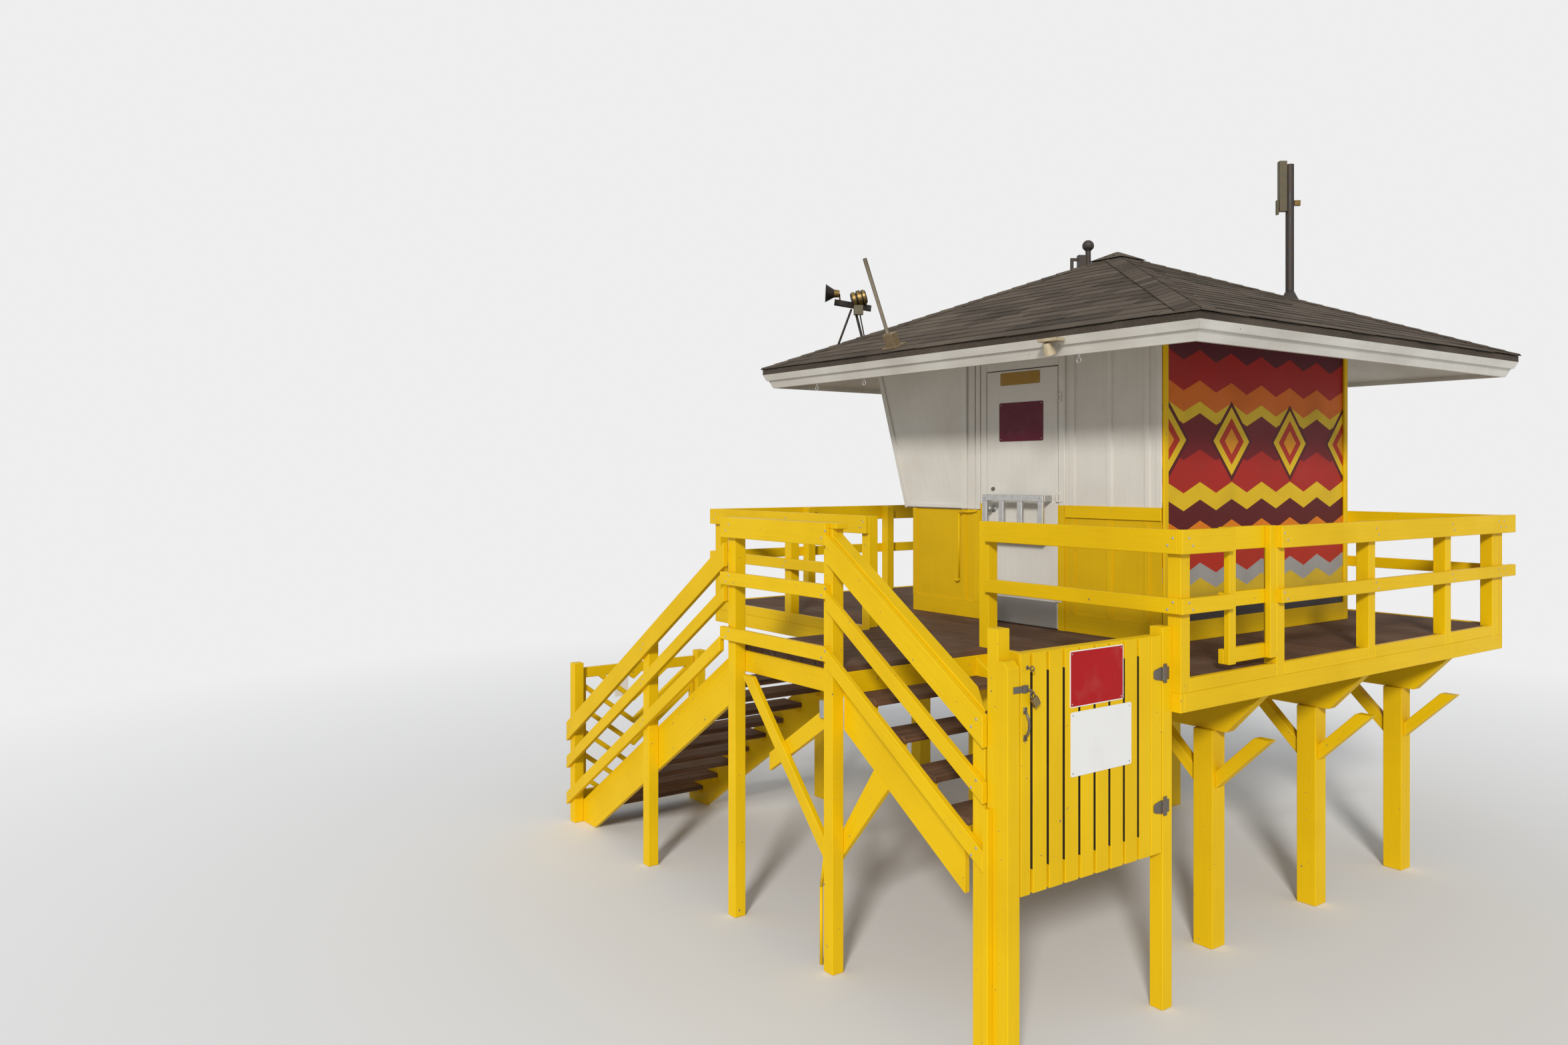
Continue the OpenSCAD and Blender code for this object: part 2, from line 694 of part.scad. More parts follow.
// Frame with bent rows of slats, which fall from both stiles to a line near the middle
og_stile = 40;
lattice_off = 60;
slat_low = 120;
module ocean_gate() color("yellow") {
    xm = (og_x0 + og_x1)/2 + lattice_off;
    slat_v = slat_w/cos(slat_slope);
    n = floor((og_z1 - og_z0)/slat_pitch);
    reach = (og_x1 - og_x0)*0.6;
    rise = reach*tan(slat_slope);
    difference() {
        block([og_x0, og_f, og_z0], [og_x1, og_f + board_t, og_z1]);
        block([og_x0 + og_stile, og_f - eps, og_z0 + mid_rail],
              [og_x1 - og_stile, og_f + board_t + eps, og_z1 - mid_rail]);
    }
    intersection() {
        block([og_x0 + og_stile - eps, og_f, og_z0 + mid_rail - eps],
              [og_x1 - og_stile + eps, og_f + board_t, og_z1 - mid_rail + eps]);
        union() for (i = [-2 : n]) {
            z = og_z0 + mid_rail + slat_low + i*slat_pitch;
            prism_y(og_f, og_f + board_t,
                [[xm, z], [xm + reach, z + rise], [xm + reach, z + rise + slat_v], [xm, z + slat_v],
                 [xm - reach, z + rise + slat_v], [xm - reach, z + rise]]);
        }
    }
}

// Hut walls
side_top = 2400;
sill_cover = 60;
wall_x = hut_x/2;
wall_y = hut_y/2;
door_y0 = door_hinge_y - door_w;
module under_shell(w) intersection() { children(); roof_block(shell_t + kerf, deck_h - 10); }

module wall_land() color("firebrick") under_shell()
    block([-wall_x, wall_y - wall_t, deck_h], [wall_x, wall_y, peak_z]);

module wall_door_right() color("white") under_shell()
    block([wall_x - wall_t, door_hinge_y, deck_h], [wall_x, wall_y - wall_t - kerf, peak_z]);

module wall_over_door() color("white") under_shell()
    block([wall_x - wall_t, door_y0 + kerf, deck_h + door_h], [wall_x, door_hinge_y - kerf, peak_z]);

// Outline of the side wall's front, above the sill, in Y and Z
function front_outline(yr) = [[yr, deck_h + sill_h], [front_y(sill_h), deck_h + sill_h],
    [front_y(side_top), deck_h + side_top], [yr, deck_h + side_top]];

module side_wall_front(x0, x1, yr) {
    difference() {
        union() {
            block([x0, -wall_y, deck_h], [x1, yr, deck_h + sill_h]);
            prism_x(x0, x1, front_outline(yr));
        }
        // Shutter opening
        prism_x(x0 - eps, x1 + eps,
            [[-shutter_rear_y - 40, deck_h + sill_h + sill_cover],
             [front_y(sill_h + sill_cover) + front_t + sill_cover, deck_h + sill_h + sill_cover],
             [front_y(window_top) + front_t + sill_cover, deck_h + window_top],
             [-shutter_rear_y - 40, deck_h + window_top]]);
    }
}

module wall_door_left() color("white") under_shell()
    side_wall_front(wall_x - wall_t, wall_x, door_y0);

module wall_far() color("white") under_shell() {
    side_wall_front(-wall_x, -wall_x + wall_t, -shutter_rear_y + 100);
    block([-wall_x, -shutter_rear_y + 100, deck_h], [-wall_x + wall_t, wall_y - wall_t - kerf, peak_z]);
}

module wall_ocean() color("gold")
    block([-wall_x + wall_t + kerf, -wall_y, deck_h],
          [wall_x - wall_t - kerf, -wall_y + wall_t, deck_h + sill_h]);

module front_wall() color("white") under_shell() {
    difference() {
        prism_x(-wall_x + wall_t + kerf, wall_x - wall_t - kerf,
            [[front_y(sill_h), deck_h + sill_h + kerf], [-wall_y + wall_t, deck_h + sill_h + kerf],
             [front_y(sill_h + sill_cover) + front_t, deck_h + sill_h + sill_cover],
             [front_y(side_top) + front_t, deck_h + side_top], [front_y(side_top), deck_h + side_top]]);
        for (i = [0 : 1]) {
            w = (hut_x - 2*wall_t - 3*mullion_w)/2;
            x = -wall_x + wall_t + mullion_w + i*(w + mullion_w);
            prism_x(x, x + w,
                [[-hut_y, deck_h + sill_h + 90], [-wall_y + wall_t + 10, deck_h + sill_h + 90],
                 [-wall_y + wall_t + 10, deck_h + window_top], [-hut_y, deck_h + window_top]]);
        }
    }
}

module front_shutters() color("white")
    for (i = [0 : 1]) {
        w = (hut_x - mullion_w)/2;
        x = -hut_x/2 + i*(w + mullion_w);
        za = sill_h + 20;
        zb = window_top + 60;
        prism_x(x, x + w,
            [[front_y(za) - kerf, deck_h + za], [front_y(zb) - kerf, deck_h + zb],
             [front_y(zb) - kerf - shutter_t, deck_h + zb], [front_y(za) - kerf - shutter_t, deck_h + za]]);
    }

module side_shutters() color("white")
    for (s = [-1, 1]) {
        x0 = s > 0 ? wall_x + kerf : -wall_x - kerf - shutter_t;
        prism_x(x0, x0 + shutter_t,
            [[-shutter_rear_y, deck_h + sill_h + 5], [front_y(sill_h + 5), deck_h + sill_h + 5],
             [front_y(window_top + 60), deck_h + window_top + 60],
             [-shutter_rear_y, deck_h + window_top + 60]]);
    }

corner_h = eave_top + 155;
kick_h = 140;
belt_top = sill_h + 55;
module wall_trim() color("gold") {
    // Corner boards and belt on the land wall
    for (x = [-wall_x, wall_x - trim_w])
        block([x, wall_y + kerf, deck_h], [x + trim_w, wall_y + trim_t, deck_h + corner_h]);
    block([-wall_x + trim_w + kerf, wall_y + kerf, deck_h],
          [wall_x - trim_w - kerf, wall_y + trim_t, deck_h + kick_h]);
    // Belt on the door side
    block([wall_x + kerf, door_hinge_y + casing_w + kerf, deck_h + belt_top - belt_h],
          [wall_x + trim_t, wall_y, deck_h + belt_top]);
}

module door_casing() color("white") {
    for (y = [door_y0 - casing_w, door_hinge_y])
        block([wall_x + kerf, y, deck_h], [wall_x + casing_t, y + casing_w, deck_h + door_h + casing_w]);
    block([wall_x + kerf, door_y0 + kerf, deck_h + door_h],
          [wall_x + casing_t, door_hinge_y - kerf, deck_h + door_h + casing_w]);
}

door_face = wall_x + casing_t;
module door() color("white")
    block([door_face - door_t, door_y0 + gap, deck_h + gap],
          [door_face, door_hinge_y - gap, deck_h + door_h - gap]);

module door_rack() color("silver") {
    y0 = door_y0 + 60;
    y1 = door_hinge_y - 60;
    z1 = deck_h + rack_top;
    x1 = door_face + rack_out;
    difference() {
        block([door_face + kerf, y0, z1 - rack_h], [x1, y1, z1]);
        block([door_face - eps, y0 + rack_tube, z1 - rack_h - eps],
              [x1 - rack_tube, y1 - rack_tube, z1 + eps]);
        block([x1 - rack_tube - eps, y0 + rack_tube, z1 - rack_h + rack_tube],
              [x1 + eps, y1 - rack_tube, z1 - rack_tube]);
    }
    n = 4;
    for (i = [1 : n]) {
        y = y0 + i*(y1 - y0)/(n + 1);
        block([x1 - rack_tube + 4, y - 8, z1 - rack_h + rack_tube - eps],
              [x1 - 4, y + 8, z1 - rack_tube + eps]);
    }
}

module roof_shell() color("dimgray")
    difference() {
        roof_block(0, eave_z - shell_t);
        roof_block(shell_t, deck_h - 10, 0);
        hip_cuts();
    }

module hip_caps() color("dimgray")
    intersection() {
        difference() {
            roof_block(-cap_t, eave_z);
            roof_block(-kerf, eave_z - eps);
        }
        for (s = [-1, 1]) {
            half = [roof_x1, (roof_y1 - roof_y0)/2*s];
            translate([0, roof_mid_y, eave_z]) rotate([0, 0, atan2(half[1], half[0])])
                translate([-norm(half), -cap_w/2, 0]) cube([2*norm(half), cap_w, roof_rise + 2*cap_t]);
        }
    }

// What stands on the roof is cut to the slope, and rests on the shell or on the caps
module on_roof(rest = kerf) difference() { children(); roof_block(-rest, eave_z - fascia_h); }

// Solid between two level outlines, each drawn in from the roof's edge
module eave_ring(in0, z0, in1, z1)
    polyhedron(
        points = [for (p = [[in0, z0], [in1, z1]]) each
                  [[roof_x0 + p[0], roof_y0 + p[0], p[1]], [roof_x1 - p[0], roof_y0 + p[0], p[1]],
                   [roof_x1 - p[0], roof_y1 - p[0], p[1]], [roof_x0 + p[0], roof_y1 - p[0], p[1]]]],
        faces = [[0, 1, 2, 3], [7, 6, 5, 4], [0, 4, 5, 1], [1, 5, 6, 2], [2, 6, 7, 3], [3, 7, 4, 0]]);

// The eave's boards lean in as they go down, square to the roof's slope
eave_lean = roof_rise/roof_x1;
eave_under = eave_z - shell_t - kerf;
fascia_step = 16;
fascia_in = board_t/cos(atan(eave_lean));
module fascia_outer(set, depth) eave_ring(set + depth*eave_lean, eave_under - depth, set, eave_under);

// The soffit's boards follow the roof and stop at the fascia's inner face, which leans with the eave
soffit_reach = 450;
module soffit() color("white")
    difference() {
        intersection() {
            roof_block(soffit_drop, deck_h + sill_h);
            eave_ring(fascia_in + kerf + soffit_reach*eave_lean, eave_under - soffit_reach,
                      fascia_in + kerf - soffit_reach*eave_lean, eave_under + soffit_reach);
        }
        roof_block(soffit_drop + soffit_t, deck_h - 10);
        hip_cuts();
        block([-wall_x - kerf, -wall_y - kerf, deck_h], [wall_x + kerf, wall_y + kerf, peak_z + 10]);
        prism_x(-wall_x - kerf, wall_x + kerf,
            [[0, deck_h], [front_y(sill_h) - kerf, deck_h + sill_h],
             [front_y(side_top) - kerf, deck_h + side_top],
             [front_y(side_top) - kerf, peak_z], [0, peak_z]]);
    }

module fascia() color("white")
    difference() {
        union() {
            fascia_outer(0, fascia_up_h);
            fascia_outer(fascia_step, fascia_h);
        }
        eave_ring(fascia_in + 2*fascia_h*eave_lean, eave_under - 2*fascia_h,
                  fascia_in - eps*eave_lean, eave_under + eps);
        hip_cuts();
    }

// Height of the roof's upper face over a point, and a way to stand pieces across the view of the hut
function roof_over(x, y) = shell_under(x, y) + shell_t;
cross_turn = -35.5;

mast_x = -roof_x1*mast_share;
mast_y = roof_mid_y + (roof_y1 - roof_y0)/2*mast_share;
mast_top = peak_z + mast_over_peak;
boot_h = 110;
panel_w = 62;
panel_over = 25;
module mast() color("dimgray") {
    z0 = roof_over(mast_x, mast_y) - 40;
    z1 = z0 + boot_h;
    on_roof(cap_t + kerf) translate([mast_x, mast_y, z0])
        cylinder(r1 = mast_r*2.6, r2 = mast_r, h = boot_h);
    translate([mast_x, mast_y, z1 + kerf]) cylinder(r = mast_r, h = mast_top - panel_over - z1 - kerf);
    translate([mast_x, mast_y, mast_top]) rotate([0, 0, cross_turn]) {
        // Panel with its bracket, and a clamp on the other side
        block([mast_r + kerf, -20, -panel_h], [mast_r + panel_w, 30, 0]);
        block([mast_r + panel_w + kerf, -15, -panel_h - 25], [mast_r + panel_w + 18, 15, -panel_h + 95]);
        block([-mast_r - 52, -14, -panel_h + 50], [-mast_r - kerf, 14, -panel_h + 95]);
    }
}

unit_x = 175;
unit_y = -225;
unit_post_r = 23;
unit_post_h = 130;
unit_ball_r = 50;
module weather_unit() color("darkgray") {
    z = roof_over(unit_x, unit_y);
    on_roof(cap_t + kerf) translate([unit_x, unit_y, z - 60]) rotate([0, 0, cross_turn]) {
        cylinder(r = unit_post_r, h = 60 + unit_post_h);
        // Junction box against the post, and a pipe that leaves it and turns down
        block([unit_post_r + kerf, -30, 0], [unit_post_r + 68, 30, 154]);
        block([unit_post_r + 68 + kerf, -12, 105], [unit_post_r + 130, 12, 130]);
        block([unit_post_r + 105, -12, 0], [unit_post_r + 130, 12, 105 - kerf]);
    }
    translate([unit_x, unit_y, z + unit_post_h + kerf])
        cylinder(r1 = unit_post_r, r2 = 0.8*unit_ball_r, h = 20);
    // Ball with a flat foot
    translate([unit_x, unit_y, z + unit_post_h + 20 + 2*kerf + unit_ball_r/2]) intersection() {
        sphere(r = unit_ball_r);
        translate([0, 0, unit_ball_r/2]) cube([3*unit_ball_r, 3*unit_ball_r, 2*unit_ball_r], center = true);
    }
}

stand_share = 0.74;
stand_bar = 360;
bar_w = 42;
lamp_r = [30, 86];
lamp_l = [36, 93];
spot_r = [58, 70];
spot_l = 110;
module floodlights() color("dimgray") {
    x = roof_x1*stand_share;
    y = roof_mid_y - (roof_y1 - roof_y0)/2*stand_share;
    z = roof_over(x, y);
    // Legs out to the roof, which they are cut to
    feet = [[125, 20], [-115, 20], [-60, -85]];
    on_roof(cap_t + kerf) translate([x, y, z]) rotate([0, 0, cross_turn])
        for (f = feet) hull() {
            translate([f[0], f[1], -170]) cylinder(r = 10, h = 2);
            translate([f[0]*0.15, f[1]*0.15, stand_h - 2 - kerf]) cylinder(r = 10, h = 2);
        }
    translate([x, y, z + stand_h]) rotate([0, 0, cross_turn]) {
        block([-stand_bar/2, -bar_w/2, 0], [stand_bar/2, bar_w/2, bar_w]);
        // Lamps on their feet, one along the bar and one across it
        translate([92, 0, bar_w + lamp_r[1] + 2]) rotate([0, 90, 0]) {
            translate([0, 0, lamp_l[0]]) cylinder(r1 = lamp_r[0], r2 = lamp_r[1], h = lamp_l[1]);
            cylinder(r = lamp_r[0], h = lamp_l[0] - kerf);
        }
        block([104, -14, bar_w + kerf], [116, 14, bar_w + lamp_r[1] - lamp_r[0] + 1.6]);
        translate([-84, spot_l/2, bar_w + spot_r[1] + 1]) rotate([90, 0, 0])
            cylinder(r1 = spot_r[0], r2 = spot_r[1], h = spot_l);
        block([-98, -14, bar_w + kerf], [-70, 14, bar_w + 12]);
    }
}

pole_in = 164;
pole_y = -640;
pole_base = [150, 100, 62];
module leaning_pole() color("tan")
    translate([roof_x1 - pole_in, pole_y, roof_over(roof_x1 - pole_in, pole_y) + kerf])
        rotate([0, atan(eave_lean), 0]) {
            block([-pole_base[0]/2, -pole_base[1]/2, 0], [pole_base[0]/2, pole_base[1]/2, pole_base[2]]);
            translate([0, 0, pole_base[2] + kerf]) cylinder(r = 15, h = pole_l - pole_base[2]);
        }

lamp_y = 1030;
lamp_drop = 12;
lamp_plate = [78, 165, 20];
module fascia_lamp() color("tan") {
    z = eave_under - lamp_drop;
    block([roof_x1 - lamp_drop*eave_lean + kerf, lamp_y, z - lamp_plate[2]],
          [roof_x1 + lamp_plate[0], lamp_y + lamp_plate[1], z]);
    translate([roof_x1 + 48, lamp_y + 58, z - lamp_plate[2] - 8]) rotate([0, 24, 0]) translate([0, 0, -80])
        cylinder(r1 = 42, r2 = 26, h = 80);
}

seat() deck_floor();
seat() deck_rim();
seat() deck_joists();
seat() deck_beams();
seat() deck_legs();
seat() knee_braces();
seat() railing_posts();
seat() land_rails();
seat() rail_leaf();
seat() ocean_rails();
seat() far_rails();
seat() door_side_rails();
seat() landing_floor();
seat() landing_frame();
seat() landing_posts();
seat() landing_rails();
seat() landing_braces();
seat() ocean_stringers();
seat() ocean_treads();
seat() ocean_newels();
seat() ocean_handrails();
seat() land_stringers();
seat() land_treads();
seat() land_newels();
seat() land_handrails();
seat() land_gate();
seat() land_gate_hardware();
seat() ocean_gate();
seat() ocean_gate_hardware();
seat() fixed_hinge_halves();
seat() wall_door_left();
seat() wall_door_right();
seat() wall_over_door();
seat() wall_land();
seat() wall_far();
seat() wall_ocean();
seat() front_wall();
seat() front_shutters();
seat() side_shutters();
seat() wall_trim();
seat() door_casing();
seat() door();
seat() door_hinges();
seat() door_rack();
seat() roof_shell();
seat() hip_caps();
seat() soffit();
seat() fascia();
seat() mast();
seat() weather_unit();
seat() floodlights();
seat() leaning_pole();
seat() fascia_lamp();
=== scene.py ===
"""Dresses a raised lifeguard tower: painted timber, shingles, boarded walls, plates and fittings."""

import json
import logging
import math
import random
from dataclasses import dataclass
from enum import Enum
from typing import Callable, Iterable, Sequence

import bmesh
import bpy
import numpy as np
from mathutils import Matrix, Vector


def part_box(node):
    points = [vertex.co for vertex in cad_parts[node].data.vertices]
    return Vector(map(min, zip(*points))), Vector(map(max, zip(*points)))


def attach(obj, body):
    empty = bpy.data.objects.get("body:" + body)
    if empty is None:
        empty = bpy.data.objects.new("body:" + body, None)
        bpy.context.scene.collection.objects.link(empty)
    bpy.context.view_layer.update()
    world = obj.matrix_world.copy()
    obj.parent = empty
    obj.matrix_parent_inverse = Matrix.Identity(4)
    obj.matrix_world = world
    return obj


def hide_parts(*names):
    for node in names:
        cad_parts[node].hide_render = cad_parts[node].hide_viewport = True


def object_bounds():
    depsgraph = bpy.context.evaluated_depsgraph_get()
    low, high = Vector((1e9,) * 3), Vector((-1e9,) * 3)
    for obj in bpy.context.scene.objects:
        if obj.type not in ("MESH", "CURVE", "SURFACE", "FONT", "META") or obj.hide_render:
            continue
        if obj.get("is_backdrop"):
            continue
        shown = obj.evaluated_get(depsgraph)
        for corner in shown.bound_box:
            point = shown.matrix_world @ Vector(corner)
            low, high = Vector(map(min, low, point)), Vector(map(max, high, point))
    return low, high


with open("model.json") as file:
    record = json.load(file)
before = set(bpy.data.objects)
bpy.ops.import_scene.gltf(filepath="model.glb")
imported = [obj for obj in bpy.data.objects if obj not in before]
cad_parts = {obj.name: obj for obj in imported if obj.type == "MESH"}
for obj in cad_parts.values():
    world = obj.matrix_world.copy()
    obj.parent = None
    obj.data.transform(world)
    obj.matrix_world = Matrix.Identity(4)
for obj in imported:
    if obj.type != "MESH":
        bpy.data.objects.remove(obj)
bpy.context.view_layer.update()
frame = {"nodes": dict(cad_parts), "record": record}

log = logging.getLogger("lifeguard_tower")

# A colour, a place or a set of steps, a pair of numbers, and what goes into a shader node
Colour = tuple[float, float, float]
Spot = Sequence[float]
Pair = tuple[float, float]
Feeds = dict[str | int, object]

UP = Vector((0, 0, 1))
TO_DOOR = Vector((1, 0, 0))
TO_LAND = Vector((0, 1, 0))
STEEL = "steel_fittings"

# The roof's peak over its eave, a plate's screws from its edges, and the angle from which an edge stays sharp
ROOF_RISE = 0.920
SCREW_IN = 0.018
CREASE = 0.6

# Colours as linear light
YELLOW: Colour = (0.82, 0.53, 0.002)
WHITE: Colour = (0.74, 0.72, 0.67)
BARE_WOOD: Colour = (0.22, 0.17, 0.12)


class Coords(Enum):
    """What a pattern is laid on."""

    PLACE = "Object"
    GRAIN = "grain"


class Wiring:
    """Lays the nodes of one shader tree."""

    def __init__(self, tree: bpy.types.NodeTree) -> None:
        """Takes a tree and empties it."""
        self.tree = tree
        tree.nodes.clear()

    def fill(self, node: bpy.types.Node, feeds: Feeds) -> None:
        """Feeds a node's inputs.

        Args:
            node: The node.
            feeds: A socket, a number or a colour for each input, by its name or number.
        """
        for key, value in feeds.items():
            target = node.inputs[key]
            if isinstance(value, bpy.types.NodeSocket):
                self.tree.links.new(value, target)
            else:
                target.default_value = (*value, 1.0) if target.type == "RGBA" else value

    def add(self, kind: str, feeds: Feeds | None = None, **settings: object) -> bpy.types.Node:
        """Adds a node.

        Args:
            kind: Blender's name of the node type, without its ShaderNode.
            feeds: What goes into its inputs.
            settings: Its properties.

        Returns:
            The new node.
        """
        node = self.tree.nodes.new(f"ShaderNode{kind}")
        for key, value in settings.items():
            setattr(node, key, value)
        self.fill(node, feeds or {})
        return node

    def sum(self, operation: str, first: object, second: object = 0.0,
            third: object = 0.0) -> bpy.types.NodeSocket:
        """Does one step of arithmetic, under Blender's name for it."""
        node = self.add("Math", {0: first, 1: second, 2: third}, operation=operation)
        return node.outputs["Value"]


class Recipe(Wiring):
    """Lays the shader nodes of one finish."""

    def __init__(self, name: str) -> None:
        """Starts a material with its shader and its output.

        Args:
            name: The material's name.
        """
        self.material = bpy.data.materials.new(name)
        self.material.use_nodes = True
        super().__init__(self.material.node_tree)
        self.shader = self.add("BsdfPrincipled")
        self.output = self.add("OutputMaterial", {"Surface": self.shader.outputs["BSDF"]})

    def place(self, coords: Coords, stretch: Colour = (1.0, 1.0, 1.0)) -> bpy.types.NodeSocket:
        """Gives pattern coordinates.

        Args:
            coords: Object coordinates or the grain map.
            stretch: How often the pattern repeats along each axis.

        Returns:
            The vector socket.
        """
        if coords is Coords.PLACE:
            source = self.add("TexCoord").outputs["Object"]
        else:
            source = self.add("UVMap", uv_map=Coords.GRAIN.value).outputs["UV"]
        return self.add("Mapping", {"Vector": source, "Scale": stretch}).outputs["Vector"]

    def tone(self) -> bpy.types.NodeSocket:
        """Gives the board's own random number from 0 to 1."""
        return self.add("Attribute", attribute_name="tone").outputs["Fac"]

    def noise(self, where: bpy.types.NodeSocket, scale: float, detail: float) -> bpy.types.NodeSocket:
        """Gives noise from 0 to 1, with so many clouds in a metre and so many octaves of finer ones."""
        return self.add("TexNoise", {"Vector": where, "Scale": scale, "Detail": detail}).outputs["Fac"]

    def span(self, value: object, low: float, high: float, out_low: float = 0.0,
             out_high: float = 1.0) -> bpy.types.NodeSocket:
        """Maps low to out_low and high to out_high, and holds the ends."""
        feeds = {"Value": value, "From Min": low, "From Max": high, "To Min": out_low, "To Max": out_high}
        return self.add("MapRange", feeds, clamp=True).outputs["Result"]

    def blend(self, share: object, first: object, second: object) -> bpy.types.NodeSocket:
        """Mixes two colours by the share of the second."""
        return self.add("Mix", {0: share, 6: first, 7: second}, data_type="RGBA").outputs[2]

    def relief(self, height: bpy.types.NodeSocket, depth: float) -> None:
        """Raises the surface by a pattern from 0 to 1, where 1 stands so many metres high."""
        bump = self.add("Bump", {"Strength": 1.0, "Distance": depth, "Height": height})
        self.fill(self.shader, {"Normal": bump.outputs["Normal"]})

    def close(self, colour: object, roughness: object, metallic: float = 0.0,
              specular: float = 0.5) -> bpy.types.Material:
        """Feeds the shader and gives the finished material."""
        self.fill(self.shader, {"Base Color": colour, "Roughness": roughness, "Metallic": metallic,
                                "Specular IOR Level": specular})
        return self.material


@dataclass(frozen=True)
class TimberPaint:
    """Brushed paint on timber, with grime, brush streaks and small chips."""

    name: str
    colour: Colour
    grime: Colour
    chip: Colour = BARE_WOOD
    grime_share: float = 0.30
    chip_from: float = 0.71
    gloss: float = 0.42
    sheen: float = 0.16

    def make(self) -> bpy.types.Material:
        """Lays the recipe.

        Returns:
            The material.
        """
        r = Recipe(self.name)
        place = r.place(Coords.PLACE)
        grain = r.place(Coords.GRAIN, (1.6, 60.0, 1.0))
        streak = r.noise(grain, 1.0, 3.0)
        cloud = r.noise(place, 1.7, 6.0)
        patch = r.span(cloud, 0.42, 0.72, 0.0, self.grime_share)
        base = r.blend(r.span(r.tone(), 0.0, 1.0, 0.0, 0.16), self.colour, self.grime)
        base = r.blend(patch, base, self.grime)
        base = r.blend(r.span(streak, 0.35, 0.75, 0.0, 0.14), base, self.grime)
        nick = r.span(r.noise(place, 34.0, 6.0), self.chip_from, self.chip_from + 0.02)
        base = r.blend(nick, base, self.chip)
        rough = r.span(cloud, 0.3, 0.7, self.gloss, self.gloss + 0.16)
        r.relief(r.sum("SUBTRACT", streak, r.sum("MULTIPLY", nick, 0.6)), 0.0007)
        return r.close(base, rough, specular=self.sheen)


@dataclass(frozen=True)
class WornPlank:
    """Walked-on brown planks with open grain and dust."""

    name: str
    dark: Colour
    light: Colour
    dust: Colour
    dust_share: float = 0.35

    def make(self) -> bpy.types.Material:
        """Lays the recipe.

        Returns:
            The material.
        """
        r = Recipe(self.name)
        place = r.place(Coords.PLACE)
        grain = r.noise(r.place(Coords.GRAIN, (2.2, 42.0, 1.0)), 1.0, 7.0)
        base = r.blend(r.span(grain, 0.32, 0.68), self.dark, self.light)
        base = r.blend(r.span(r.tone(), 0.0, 1.0, 0.0, 0.45), base, self.dark)
        cloud = r.noise(place, 2.3, 6.0)
        base = r.blend(r.span(cloud, 0.48, 0.75, 0.0, self.dust_share), base, self.dust)
        r.relief(grain, 0.0012)
        return r.close(base, r.span(grain, 0.3, 0.7, 0.72, 0.9), specular=0.2)


@dataclass(frozen=True)
class RoofShingle:
    """Mineral granules on dark shingles, each a little lighter or darker."""

    name: str
    dark: Colour
    light: Colour
    lichen: Colour

    def make(self) -> bpy.types.Material:
        """Lays the recipe.

        Returns:
            The material.
        """
        r = Recipe(self.name)
        place = r.place(Coords.PLACE)
        base = r.blend(r.tone(), self.dark, self.light)
        granule = r.noise(place, 260.0, 2.0)
        base = r.blend(r.span(granule, 0.35, 0.65, 0.0, 0.35), base, self.lichen)
        base = r.blend(r.span(r.noise(place, 1.3, 5.0), 0.45, 0.75, 0.0, 0.45), base, self.lichen)
        r.relief(granule, 0.0012)
        return r.close(base, 0.93, specular=0.15)


@dataclass(frozen=True)
class DullMetal:
    """Weathered metal with stains and soft scratches."""

    name: str
    colour: Colour
    stain: Colour
    rough: float = 0.45
    metallic: float = 0.85
    stain_share: float = 0.5

    def make(self) -> bpy.types.Material:
        """Lays the recipe.

        Returns:
            The material.
        """
        r = Recipe(self.name)
        place = r.place(Coords.PLACE)
        cloud = r.noise(place, 21.0, 6.0)
        base = r.blend(r.span(cloud, 0.45, 0.7, 0.0, self.stain_share), self.colour, self.stain)
        scratch = r.noise(r.place(Coords.PLACE, (1.0, 1.0, 14.0)), 40.0, 3.0)
        r.relief(scratch, 0.0003)
        return r.close(base, r.span(cloud, 0.3, 0.7, self.rough, self.rough + 0.25), self.metallic)


@dataclass(frozen=True)
class Enamel:
    """Smooth enamel on a bare plate, with a little dust."""

    name: str
    colour: Colour
    dust: Colour = (0.42, 0.38, 0.32)
    gloss: float = 0.28

    def make(self) -> bpy.types.Material:
        """Lays the recipe.

        Returns:
            The material.
        """
        r = Recipe(self.name)
        cloud = r.noise(r.place(Coords.PLACE), 7.0, 6.0)
        base = r.blend(r.span(cloud, 0.5, 0.8, 0.0, 0.10), self.colour, self.dust)
        return r.close(base, r.span(cloud, 0.35, 0.7, self.gloss, self.gloss + 0.25), specular=0.2)


